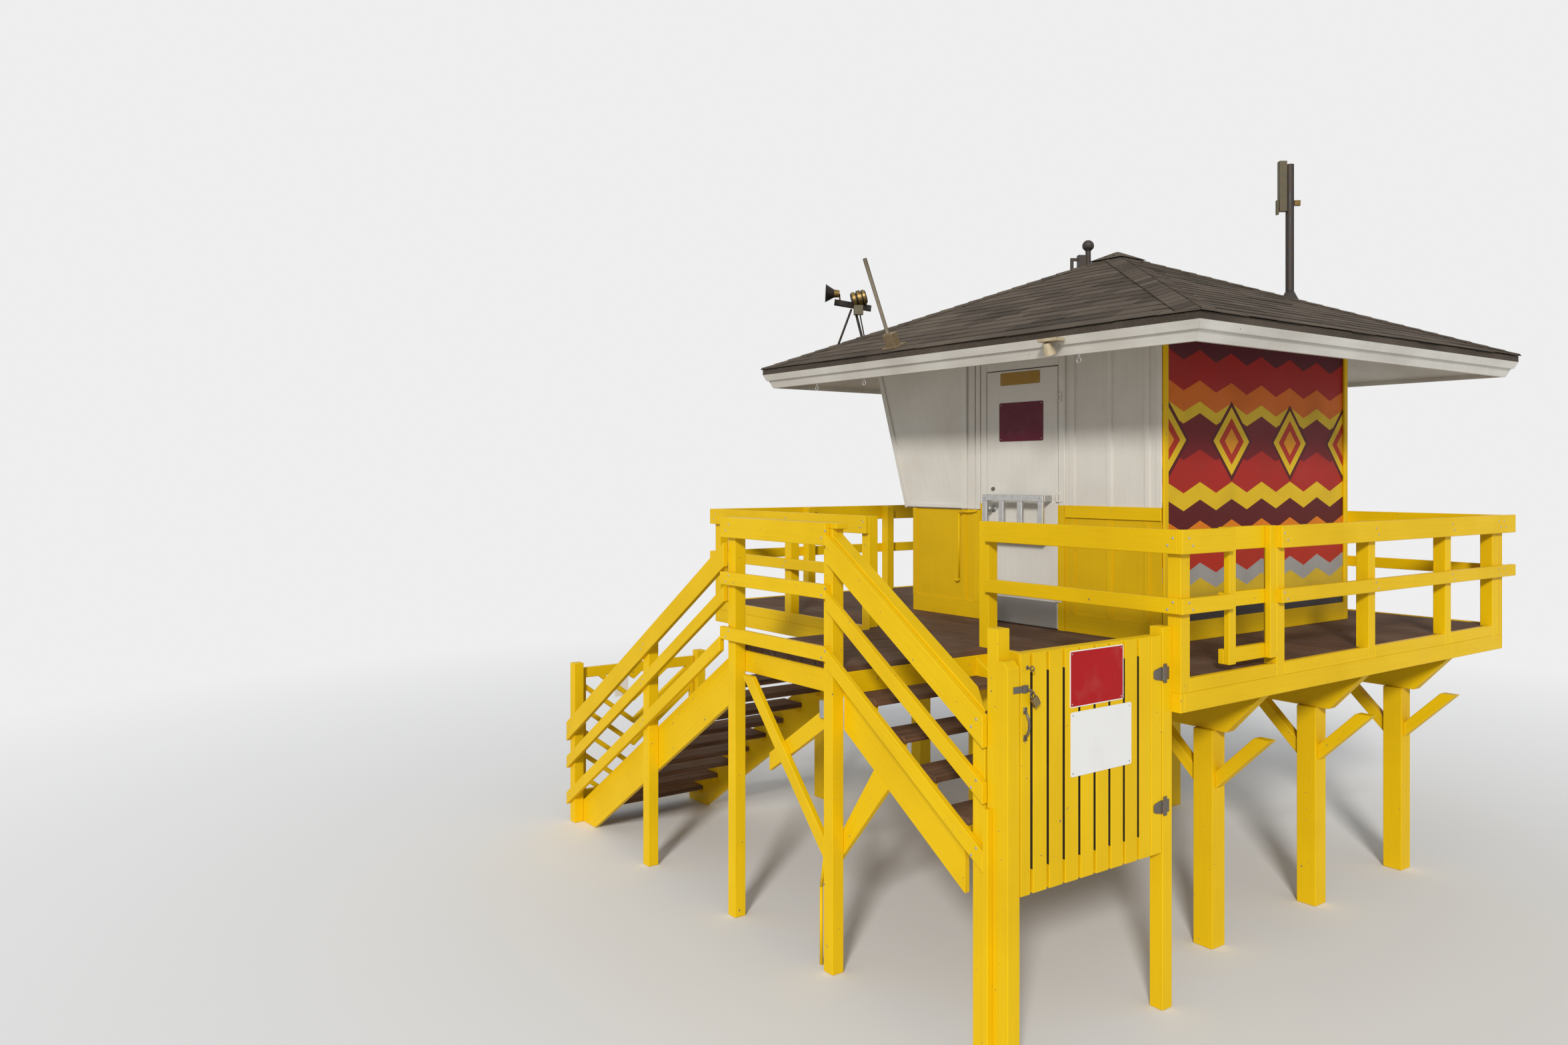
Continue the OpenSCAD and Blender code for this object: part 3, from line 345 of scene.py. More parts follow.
@dataclass(frozen=True)
class BandedMural:
    """Zigzag bands and a row of diamonds painted over a boarded wall."""

    name: str
    low_z: float
    height: float
    middle_x: float
    tooth: float = 0.393
    swing: float = 0.075
    diamond_z: float = 0.60
    diamond_step: float = 0.786
    squat: float = 0.9
    grime: Colour = (0.10, 0.07, 0.05)
    bands: tuple[tuple[float, Colour], ...] = (
        (0.00, (0.060, 0.055, 0.060)),
        (0.07, (0.62, 0.42, 0.020)),
        (0.14, (0.33, 0.32, 0.31)),
        (0.19, (0.42, 0.025, 0.012)),
        (0.29, (0.70, 0.20, 0.010)),
        (0.33, (0.10, 0.010, 0.012)),
        (0.40, (0.72, 0.48, 0.015)),
        (0.46, (0.38, 0.018, 0.012)),
        (0.57, (0.16, 0.008, 0.012)),
        (0.69, (0.72, 0.50, 0.020)),
        (0.73, (0.66, 0.15, 0.008)),
        (0.80, (0.36, 0.015, 0.012)),
        (0.90, (0.095, 0.012, 0.022)),
    )
    rings: tuple[tuple[float, Colour], ...] = (
        (0.34, (0.09, 0.008, 0.010)),
        (0.29, (0.74, 0.50, 0.015)),
        (0.20, (0.45, 0.03, 0.012)),
        (0.11, (0.74, 0.30, 0.012)),
    )

    def make(self) -> bpy.types.Material:
        """Lays the recipe.

        Returns:
            The material.
        """
        r = Recipe(self.name)
        place = r.place(Coords.PLACE)
        split = r.add("SeparateXYZ", {"Vector": place})
        across = r.sum("SUBTRACT", split.outputs["X"], self.middle_x)
        share = r.sum("DIVIDE", r.sum("SUBTRACT", split.outputs["Z"], self.low_z), self.height)
        teeth = r.sum("PINGPONG", r.sum("DIVIDE", across, self.tooth), 0.5)
        ramp = r.add("ValToRGB", {"Fac": r.sum("MULTIPLY_ADD", teeth, self.swing, share)})
        ramp.color_ramp.interpolation = "CONSTANT"
        stops = ramp.color_ramp.elements
        while len(stops) < len(self.bands):
            stops.new(1.0)
        for stop, (at, colour) in zip(stops, self.bands):
            stop.position = at
            stop.color = (*colour, 1.0)
        base = self.diamonds(r, across, share, ramp.outputs["Color"])
        grain = r.noise(r.place(Coords.GRAIN, (60.0, 1.6, 1.0)), 1.0, 3.0)
        cloud = r.noise(place, 3.0, 6.0)
        base = r.blend(r.span(cloud, 0.45, 0.75, 0.0, 0.22), base, self.grime)
        r.relief(grain, 0.0005)
        return r.close(base, r.span(cloud, 0.3, 0.7, 0.42, 0.6), specular=0.16)

    def diamonds(self, r: Recipe, across: bpy.types.NodeSocket, share: bpy.types.NodeSocket,
                 base: bpy.types.NodeSocket) -> bpy.types.NodeSocket:
        """Lays nested diamonds over the bands.

        Args:
            r: The recipe that is being laid.
            across: Distance from the wall's middle.
            share: Share of the wall's height.
            base: Colour under the diamonds.

        Returns:
            The colour with the diamonds.
        """
        step = r.sum("PINGPONG", r.sum("ADD", r.sum("DIVIDE", across, self.diamond_step), 0.5), 0.5)
        lift = r.sum("ABSOLUTE", r.sum("SUBTRACT", share, self.diamond_z))
        reach = r.sum("MULTIPLY_ADD", lift, self.height/self.diamond_step*self.squat, step)
        for limit, colour in self.rings:
            base = r.blend(r.sum("LESS_THAN", reach, limit), base, colour)
        return base


class Finish(Enum):
    """The named finishes of the tower."""

    YELLOW_PAINT = TimberPaint("yellow_timber_paint", YELLOW, (0.50, 0.28, 0.003), grime_share=0.24)
    YELLOW_WALL = TimberPaint("yellow_wall_paint", (0.76, 0.48, 0.003), (0.42, 0.25, 0.01), chip_from=0.76)
    WHITE_WALL = TimberPaint("white_wall_paint", WHITE, (0.45, 0.41, 0.35), chip_from=0.78, gloss=0.5)
    WHITE_TRIM = TimberPaint("white_trim_paint", (0.70, 0.68, 0.63), (0.36, 0.32, 0.27), grime_share=0.45,
                             chip_from=0.72, gloss=0.5)
    # Grey for the band at the door's foot: painted shade over the door's white paint
    GREY_KICK = TimberPaint("grey_kick_paint", (0.30, 0.29, 0.27), (0.19, 0.17, 0.15), gloss=0.5)
    DECK = WornPlank("deck_planks", (0.055, 0.030, 0.019), (0.165, 0.088, 0.052), (0.20, 0.155, 0.12))
    TREAD = WornPlank("stair_planks", (0.065, 0.034, 0.020), (0.21, 0.11, 0.062), (0.24, 0.18, 0.13))
    POLE = WornPlank("weathered_pole", (0.13, 0.105, 0.075), (0.28, 0.235, 0.17), (0.36, 0.33, 0.28))
    # Very dark brown for the land gate's slot walls: painted shade, for the shade deep in the narrow slots
    BARE_EDGE = WornPlank("bare_sawn_edge", (0.018, 0.013, 0.006), (0.045, 0.032, 0.014), (0.06, 0.045, 0.03))
    SHINGLES = RoofShingle("roof_shingles", (0.036, 0.029, 0.024), (0.115, 0.092, 0.072), (0.18, 0.145, 0.11))
    GALVANISED = DullMetal("galvanised_steel", (0.46, 0.47, 0.47), (0.26, 0.22, 0.17))
    HINGE_STEEL = DullMetal("hinge_steel", (0.17, 0.155, 0.13), (0.16, 0.09, 0.045), metallic=0.6)
    ALUMINIUM = DullMetal("rack_aluminium", (0.62, 0.63, 0.64), (0.42, 0.41, 0.38), rough=0.34,
                          stain_share=0.35)
    MAST = DullMetal("mast_steel", (0.042, 0.034, 0.032), (0.10, 0.066, 0.036), metallic=0.4)
    KHAKI_CASE = DullMetal("khaki_case", (0.100, 0.083, 0.048), (0.155, 0.115, 0.055), metallic=0.2)
    BRONZE = DullMetal("lamp_bronze", (0.25, 0.165, 0.055), (0.045, 0.028, 0.012), rough=0.30,
                       stain_share=0.8)
    TAN_CLAMP = DullMetal("tan_clamp", (0.21, 0.148, 0.080), (0.115, 0.078, 0.040), metallic=0.3)
    LAMP_DARK = DullMetal("dark_lamp_metal", (0.016, 0.014, 0.013), (0.095, 0.052, 0.022), metallic=0.5)
    LAMP_BEIGE = DullMetal("aged_lamp_metal", (0.50, 0.42, 0.28), (0.23, 0.16, 0.09), metallic=0.2, rough=0.5)
    BRASS = DullMetal("lock_brass", (0.30, 0.22, 0.10), (0.12, 0.085, 0.05), rough=0.4)
    RED_PLATE = Enamel("red_plate", (0.40, 0.002, 0.004))
    MAROON_PLATE = Enamel("maroon_plate", (0.115, 0.006, 0.022))
    OCHRE_PLATE = Enamel("ochre_plate", (0.36, 0.21, 0.035))
    WHITE_PLATE = Enamel("white_plate", (0.78, 0.78, 0.77))

    def material(self) -> bpy.types.Material:
        """Gives the finish's material, made on its first use."""
        made = bpy.data.materials.get(self.value.name)
        return made or self.value.make()


def islands(bm: bmesh.types.BMesh) -> list[list[bmesh.types.BMFace]]:
    """Parts a mesh into its separate boards.

    Args:
        bm: The mesh.

    Returns:
        The faces of each board.
    """
    seen: set[bmesh.types.BMFace] = set()
    groups = []
    for first in bm.faces:
        if first in seen:
            continue
        seen.add(first)
        group, queue = [], [first]
        while queue:
            face = queue.pop()
            group.append(face)
            for vert in face.verts:
                for other in vert.link_faces:
                    if other not in seen:
                        seen.add(other)
                        queue.append(other)
        groups.append(group)
    return groups


def board_points(faces: Sequence[bmesh.types.BMFace]) -> np.ndarray:
    """Gives a board's corner points, each once and in a fixed order."""
    return np.array([vert.co[:] for vert in dict.fromkeys(v for f in faces for v in f.verts)])


def board_axes(faces: Sequence[bmesh.types.BMFace]) -> tuple[np.ndarray, np.ndarray]:
    """Finds a board's middle and its long, wide and thin directions.

    Args:
        faces: The board's faces.

    Returns:
        The middle, and the three directions as rows.
    """
    points = board_points(faces)
    middle = points.mean(0)
    return middle, np.linalg.svd(points - middle, full_matrices=False)[2]


def facing(way: Vector) -> Matrix:
    """Gives the turn from upright to a direction."""
    return UP.rotation_difference(way).to_matrix().to_4x4()


class Carpenter:
    """Collects boards, rods and heads for one piece, and hands it over."""

    def __init__(self, name: str, finish: Finish, chamfer: float = 0.0015, node: str | None = None) -> None:
        """Starts a piece.

        Args:
            name: The piece's name.
            finish: Its finish.
            chamfer: Width of the eased edges, 0 for none.
            node: A CAD node whose boards it starts from.
        """
        self.name = name
        self.finish = finish
        self.chamfer = chamfer
        self.bm = copied_boards(node) if node else bmesh.new()
        self.luck = random.Random(name)

    def cube(self, middle: Vector, size: Spot, turn: Matrix = Matrix.Identity(4)) -> None:
        """Adds a board by its middle, its three sizes and its turn."""
        place = Matrix.Translation(middle) @ turn @ Matrix.Diagonal((*size, 1.0))
        bmesh.ops.create_cube(self.bm, size=1.0, matrix=place)

    def block(self, corner: Spot, opposite: Spot) -> None:
        """Adds a board between two opposite corners."""
        near, far = Vector(corner), Vector(opposite)
        self.cube((near + far)/2, [abs(reach) for reach in far - near])

    def bar(self, start: Spot, end: Spot, width: float, thick: float, out: Vector) -> None:
        """Adds a straight board that lies on a surface.

        Args:
            start: Middle of one end, on the surface.
            end: Middle of the other end.
            width: Width along the surface.
            thick: How far it stands out.
            out: The surface's outward direction.
        """
        start, end, out = Vector(start), Vector(end), out.normalized()
        along = end - start
        turn = Matrix((along.normalized(), out.cross(along).normalized(), out)).transposed().to_4x4()
        self.cube((start + end)/2 + out*thick/2, (along.length, width, thick), turn)

    def slab(self, outline: Iterable[Spot], push: Vector) -> None:
        """Adds a flat board of any outline.

        Args:
            outline: Corners of one face, in order.
            push: From that face to the other.
        """
        near = [self.bm.verts.new(corner) for corner in outline]
        far = [self.bm.verts.new(vert.co + push) for vert in near]
        self.bm.faces.new(near)
        self.bm.faces.new(far[::-1])
        for i, corner in enumerate(near):
            self.bm.faces.new((corner, near[i - 1], far[i - 1], far[i]))

    def rod(self, start: Spot, end: Spot, radius: float, tip: float | None = None, sides: int = 16) -> None:
        """Adds a round rod or cone.

        Args:
            start: Middle of the first end.
            end: Middle of the second end.
            radius: Radius at the first end.
            tip: Radius at the second end, the same where it is not given.
            sides: Number of facets round it.
        """
        start, end = Vector(start), Vector(end)
        bmesh.ops.create_cone(self.bm, cap_ends=True, segments=sides, radius1=radius,
                              radius2=radius if tip is None else tip, depth=(end - start).length,
                              matrix=Matrix.Translation((start + end)/2) @ facing(end - start))

    def head(self, at: Spot, out: Vector, radius: float, rise: float = 0.45) -> None:
        """Adds a domed bolt or screw head of a radius, and of a rise as a share of it."""
        place = Matrix.Translation(at) @ facing(out) @ Matrix.Diagonal((1, 1, rise, 1))
        bmesh.ops.create_uvsphere(self.bm, u_segments=10, v_segments=6, radius=radius, matrix=place)

    def loop(self, middle: Spot, axis: Vector, ring: float, wire: float, start: float = 0.0,
             sweep: float = math.tau) -> None:
        """Adds a ring or a part of a ring of round wire.

        Args:
            middle: Middle of the ring.
            axis: Axis of the ring.
            ring: Radius of the wire's middle line.
            wire: Radius of the wire.
            start: Angle at which it starts.
            sweep: Angle that it covers.
        """
        turn = Matrix.Translation(middle) @ facing(axis)
        stand = Matrix.Translation((ring, 0, 0)) @ Matrix.Rotation(math.pi/2, 4, "X")
        full = sweep > math.tau - 0.01
        verts = bmesh.ops.create_circle(self.bm, cap_ends=not full, segments=8, radius=wire,
                                        matrix=turn @ Matrix.Rotation(start, 4, "Z") @ stand)["verts"]
        edges = dict.fromkeys(e for v in verts for e in v.link_edges)
        faces = dict.fromkeys(f for v in verts for f in v.link_faces)
        bmesh.ops.spin(self.bm, geom=[*verts, *edges, *faces], cent=middle, axis=turn.to_3x3() @ UP,
                       angle=sweep, steps=max(6, round(20*abs(sweep)/math.tau)), use_merge=full)

    def ease(self, edges: list[bmesh.types.BMEdge], width: float, segments: int = 1) -> None:
        """Rounds or chamfers some edges."""
        bmesh.ops.bevel(self.bm, geom=edges, offset=width, offset_type="OFFSET", segments=segments,
                        profile=0.5, affect="EDGES", clamp_overlap=True, material=-1)

    def trim(self, at: Vector, out: Vector) -> None:
        """Cuts off what lies beyond a plane and closes the cuts.

        Args:
            at: A place on the plane.
            out: The side that goes.
        """
        bmesh.ops.bisect_plane(self.bm, geom=self.bm.verts[:] + self.bm.edges[:] + self.bm.faces[:],
                               dist=1e-6, plane_co=at, plane_no=out, clear_outer=True)
        bmesh.ops.holes_fill(self.bm, edges=[e for e in self.bm.edges if e.is_boundary], sides=0)

    def lay_grain(self) -> None:
        """Writes each board's grain map and its random tone."""
        grain = self.bm.loops.layers.uv.new(Coords.GRAIN.value)
        tone = self.bm.faces.layers.float.new("tone")
        for faces in islands(self.bm):
            middle, (long, wide, thin) = board_axes(faces)
            shift, shade = self.luck.uniform(0, 40), self.luck.random()
            for face in faces:
                face[tone] = shade
                for corner in face.loops:
                    at = np.array(corner.vert.co[:]) - middle
                    corner[grain].uv = (at @ long + shift, at @ wide + at @ thin + shift)

    def deliver(self, body: str = "root", slot: str | None = None, replaces: Iterable[str] = (),
                smooth: bool = False) -> bpy.types.Object:
        """Turns the collected shapes into a piece of the scene.

        Args:
            body: The CAD body that it rides on.
            slot: The record's material slot, where it has one; not used.
            replaces: CAD nodes that it stands for.
            smooth: Whether its faces shade smoothly.

        Returns:
            The new object.
        """
        if self.chamfer:
            self.ease([e for e in self.bm.edges if len(e.link_faces) == 2 and e.calc_face_angle(0.0) > 0.5],
                      self.chamfer)
        bmesh.ops.recalc_face_normals(self.bm, faces=self.bm.faces[:])
        self.lay_grain()
        mesh = bpy.data.meshes.new(self.name)
        self.bm.to_mesh(mesh)
        self.bm.free()
        mesh.polygons.foreach_set("use_smooth", [smooth]*len(mesh.polygons))
        mesh.materials.append(self.finish.material())
        piece = placed(self.name, mesh)
        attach(piece, body)
        names = list(replaces)
        if names:
            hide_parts(*names)
        log.info("%s: %d faces on %s", self.name, len(mesh.polygons), body)
        return piece


def placed(name: str, data: bpy.types.ID) -> bpy.types.Object:
    """Puts an object into the scene.

    Args:
        name: Its name.
        data: Its mesh, light or camera.

    Returns:
        The object.
    """
    thing = bpy.data.objects.new(name, data)
    bpy.context.scene.collection.objects.link(thing)
    return thing


def copied_boards(node: str) -> bmesh.types.BMesh:
    """Copies a CAD node's mesh with whole faces.

    Args:
        node: Name of the CAD node.

    Returns:
        The merged copy, with flat faces joined.
    """
    bm = bmesh.new()
    bm.from_mesh(frame["nodes"][node].data)
    bmesh.ops.remove_doubles(bm, verts=bm.verts[:], dist=1e-5)
    bmesh.ops.dissolve_limit(bm, angle_limit=math.radians(1), use_dissolve_boundaries=False,
                             verts=bm.verts[:], edges=bm.edges[:], delimit={"NORMAL"})
    return bm


@dataclass(frozen=True)
class Board:
    """One board of a CAD node, by its middle, directions and reach along them."""

    middle: Vector
    long: Vector
    low: Vector
    high: Vector
    half: float

    @classmethod
    def of_node(cls, node: str) -> "list[Board]":
        """Reads the boards of a CAD node.

        Args:
            node: Name of the CAD node.

        Returns:
            One entry for each separate solid.
        """
        bm = copied_boards(node)
        boards = []
        for faces in islands(bm):
            points = board_points(faces)
            middle, axes = board_axes(faces)
            reach = (points - middle) @ axes[0]
            boards.append(cls(Vector((points.min(0) + points.max(0))/2), Vector(axes[0]),
                              Vector(points.min(0)), Vector(points.max(0)), float(np.ptp(reach))/2))
        bm.free()
        return boards


@dataclass(frozen=True)
class Site:
    """Datums of the hut and deck, read from the frame."""

    deck_z: float
    wall_x0: float
    wall_x1: float
    wall_y0: float
    wall_y1: float
    door_low: Vector
    door_high: Vector

    @classmethod
    def survey(cls) -> "Site":
        """Reads the datums.

        Returns:
            The site.
        """
        low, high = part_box("wall_land")
        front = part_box("wall_ocean")[0].y
        return cls(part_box("deck_floor")[1].z, low.x, high.x, front, high.y, *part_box("door"))

    def middle(self) -> Vector:
        """Gives the middle of the hut's walls at the ground."""
        return Vector(((self.wall_x0 + self.wall_x1)/2, (self.wall_y0 + self.wall_y1)/2, 0))


@dataclass
class TimberFrame:
    """Painted boards of the deck, stairs and railings, with eased edges and a grain."""

    nodes: dict[str, tuple[Finish, str, str]]
    chamfer: float = 0.003

    def build(self) -> None:
        """Makes a dressed copy of every timber node."""
        for node, (finish, slot, body) in self.nodes.items():
            Carpenter(f"{node}_timber", finish, self.chamfer, node).deliver(body, slot, replaces=(node,))


@dataclass
class Planking:
    """Planks on the deck and the landing, and the boards of the treads."""

    plank_w: float = 0.14
    joint: float = 0.005
    rim_t: float = 0.039
    butts: Pair = (0.62, 0.36)
    cleat: float = 0.038
    cleat_in: float = 0.02

    def build(self) -> None:
        """Lays the planks and treads."""
        self.deck()
        landing = Carpenter("landing_planks", Finish.DECK, 0.002)
        self.spread(landing, *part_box("landing_floor"), across=1, butts=(0.0,))
        landing.deliver(slot="deck_plank", replaces=("landing_floor",))
        for flight in ("ocean_treads", "land_treads"):
            self.treads(flight)

    def spread(self, work: Carpenter, low: Vector, high: Vector, across: int, butts: Sequence[float]) -> None:
        """Fills a floor with planks side by side.

        Args:
            work: The piece.
            low: The floor's lower corner.
            high: Its upper corner.
            across: The axis across the planks.
            butts: Where planks meet end to end, as shares of the length, by turns, and 0 for whole planks.
        """
        gap, along = self.joint/2, 1 - across
        count = round((high[across] - low[across])/self.plank_w)
        pitch = (high[across] - low[across])/count
        for i in range(count):
            share = butts[i % len(butts)]
            butt = low[along] + (high[along] - low[along])*share
            ends = (low[along], butt - gap, butt + gap, high[along]) if share else (low[along], high[along])
            for start, end in zip(ends[::2], ends[1::2]):
                near, far = low.copy(), high.copy()
                near[across] = low[across] + i*pitch + gap
                far[across] = low[across] + (i + 1)*pitch - gap
                near[along] = start
                far[along] = end
                work.block(near, far)

    def deck(self) -> None:
        """Lays the deck's planks inside its rim, and the sill board between deck and landing."""
        low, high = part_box("deck_floor")
        rim_low, rim_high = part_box("deck_rim")
        inner = rim_high.x - self.rim_t
        work = Carpenter("deck_planks", Finish.DECK, 0.002)
        self.spread(work, Vector((rim_low.x + self.rim_t, rim_low.y + self.rim_t, low.z)),
                    Vector((inner, rim_high.y - self.rim_t, high.z)), across=0, butts=self.butts)
        near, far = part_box("landing_floor")
        work.block((inner, near.y - 0.08, low.z), (high.x, far.y - 0.09, high.z))
        work.deliver(slot="deck_plank", replaces=("deck_floor",))

    def treads(self, node: str) -> None:
        """Parts each tread into two boards, with a cleat under each end.

        Args:
            node: The CAD node of the flight's treads.
        """
        boards = Carpenter(f"{node}_boards", Finish.TREAD, 0.003)
        cleats = Carpenter(f"{node}_cleats", Finish.YELLOW_PAINT, 0.002)
        for tread in Board.of_node(node):
            low, high, middle = tread.low, tread.high, tread.middle.y
            boards.block(low, (high.x, middle - self.joint/2, high.z))
            boards.block((low.x, middle + self.joint/2, low.z), high)
            for x in (low.x, high.x - self.cleat):
                cleats.block((x, low.y + self.cleat_in, low.z - self.cleat),
                             (x + self.cleat, high.y - self.cleat_in, low.z))
        boards.deliver(slot="tread_plank", replaces=(node,))
        cleats.deliver(slot="yellow_paint")


@dataclass
class ShingleRoof:
    """Courses of shingles on the four roof sides, and caps along the hips."""

    exposure: float = 0.130
    tab_w: float = 0.305
    tab_t: float = 0.006
    butt: float = 0.008
    joint: float = 0.006
    cap_w: float = 0.24
    cap_over: float = 0.012
    drip: float = 0.012

    def build(self) -> None:
        """Lays the sides and the caps."""
        low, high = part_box("roof_shell")
        self.peak = Vector(((low.x + high.x)/2, (low.y + high.y)/2, high.z))
        eave = high.z - ROOF_RISE
        self.corners = [Vector((x, y, eave)) for x, y in
                        ((low.x, low.y), (high.x, low.y), (high.x, high.y), (low.x, high.y))]
        for side, name in enumerate(("ocean", "door", "land", "far")):
            self.side(self.corners[side], self.corners[(side + 1) % 4], name)
        self.caps()

    def side(self, left: Vector, right: Vector, name: str) -> None:
        """Lays the courses of one side and trims them at the hips.

        Args:
            left: Left corner of the eave, seen from outside.
            right: Right corner.
            name: Name of the side.
        """
        work = Carpenter(f"shingles_{name}", Finish.SHINGLES, 0.0)
        along = (right - left).normalized()
        foot = (left + right)/2
        length = (self.peak - foot).length
        climb = (self.peak - foot).normalized()
        out = along.cross(climb)
        half = (right - left).length/2
        for row in range(math.ceil(length/self.exposure)):
            start = foot + climb*(row*self.exposure - (self.drip if row == 0 else 0.0))
            reach = half*(1 - row*self.exposure/length) + self.tab_w
            offset = (row % 2)*self.tab_w/2 + work.luck.uniform(-0.02, 0.02)
            count = math.ceil(reach/self.tab_w)
            for tab in range(-count, count + 1):
                middle = start + along*(tab*self.tab_w + offset)
                lift = out*(self.butt + work.luck.uniform(-0.0015, 0.002))
                slip = climb*work.luck.uniform(-0.004, 0.004)
                work.bar(middle + slip + lift, middle + climb*(self.exposure + 0.03) + out*0.001,
                         self.tab_w - self.joint, self.tab_t, out)
        for corner in (left, right):
            normal = (corner - self.peak).cross(UP).normalized()
            if normal.dot(foot - self.peak) > 0:
                normal.negate()
            work.trim(self.peak, normal)
        work.deliver(slot="shingles")

    def caps(self) -> None:
        """Lays overlapping caps along the hips, each with a wing on either side, and the cap of the peak."""
        work = Carpenter("hip_cap_shingles", Finish.SHINGLES, 0.0)
        for i, corner in enumerate(self.corners):
            hip = (self.peak - corner).normalized()
            length = (self.peak - corner).length
            for neighbour in (self.corners[(i + 1) % 4], self.corners[i - 1]):
                along = (neighbour - corner).normalized()
                out = along.cross(hip).normalized()
                if out.z < 0:
                    out.negate()
                shift = (along - hip*along.dot(hip)).normalized()*self.cap_w/4
                for step in range(int(length/self.exposure)):
                    low = corner + hip*(step*self.exposure - 0.01) + out*(self.butt + 0.009)
                    high = corner + hip*((step + 1)*self.exposure + 0.05) + out*(self.butt + 0.002)
                    work.bar(low + shift, high + shift, self.cap_w/2, self.tab_t, out)
        for corner, out in zip(self.corners, (-TO_LAND, TO_DOOR, TO_LAND, -TO_DOOR)):
            work.trim(corner + out*self.cap_over, out)
        place = Matrix.Translation(self.peak + UP*0.002) @ Matrix.Rotation(math.pi/4, 4, "Z")
        bmesh.ops.create_cone(work.bm, cap_ends=True, segments=4, radius1=0.24, radius2=0.02, depth=0.075,
                              matrix=place)
        work.deliver(slot="shingles", replaces=("hip_caps",))


@dataclass(frozen=True)
class WallFace:
    """An outer face of the hut, whose boards lie at a run along it and a height over the deck."""

    origin: Vector
    run: Vector
    out: Vector

    def at(self, run: float, height: float, stand: float = 0.0) -> Vector:
        """Gives the place at a run, a height and a distance off the face."""
        return self.origin + self.run*run + UP*height + self.out*stand

    def sheet(self, work: Carpenter, run: Pair, height: Pair, thick: float) -> None:
        """Adds a flat sheet over a stretch of the run and a stretch of the height."""
        work.block(self.at(run[0], height[0]), self.at(run[1], height[1], thick))

    def upright(self, work: Carpenter, run: float, height: Pair, width: float, thick: float) -> None:
        """Adds an upright board between two heights."""
        work.bar(self.at(run, height[0]), self.at(run, height[1]), width, thick, self.out)


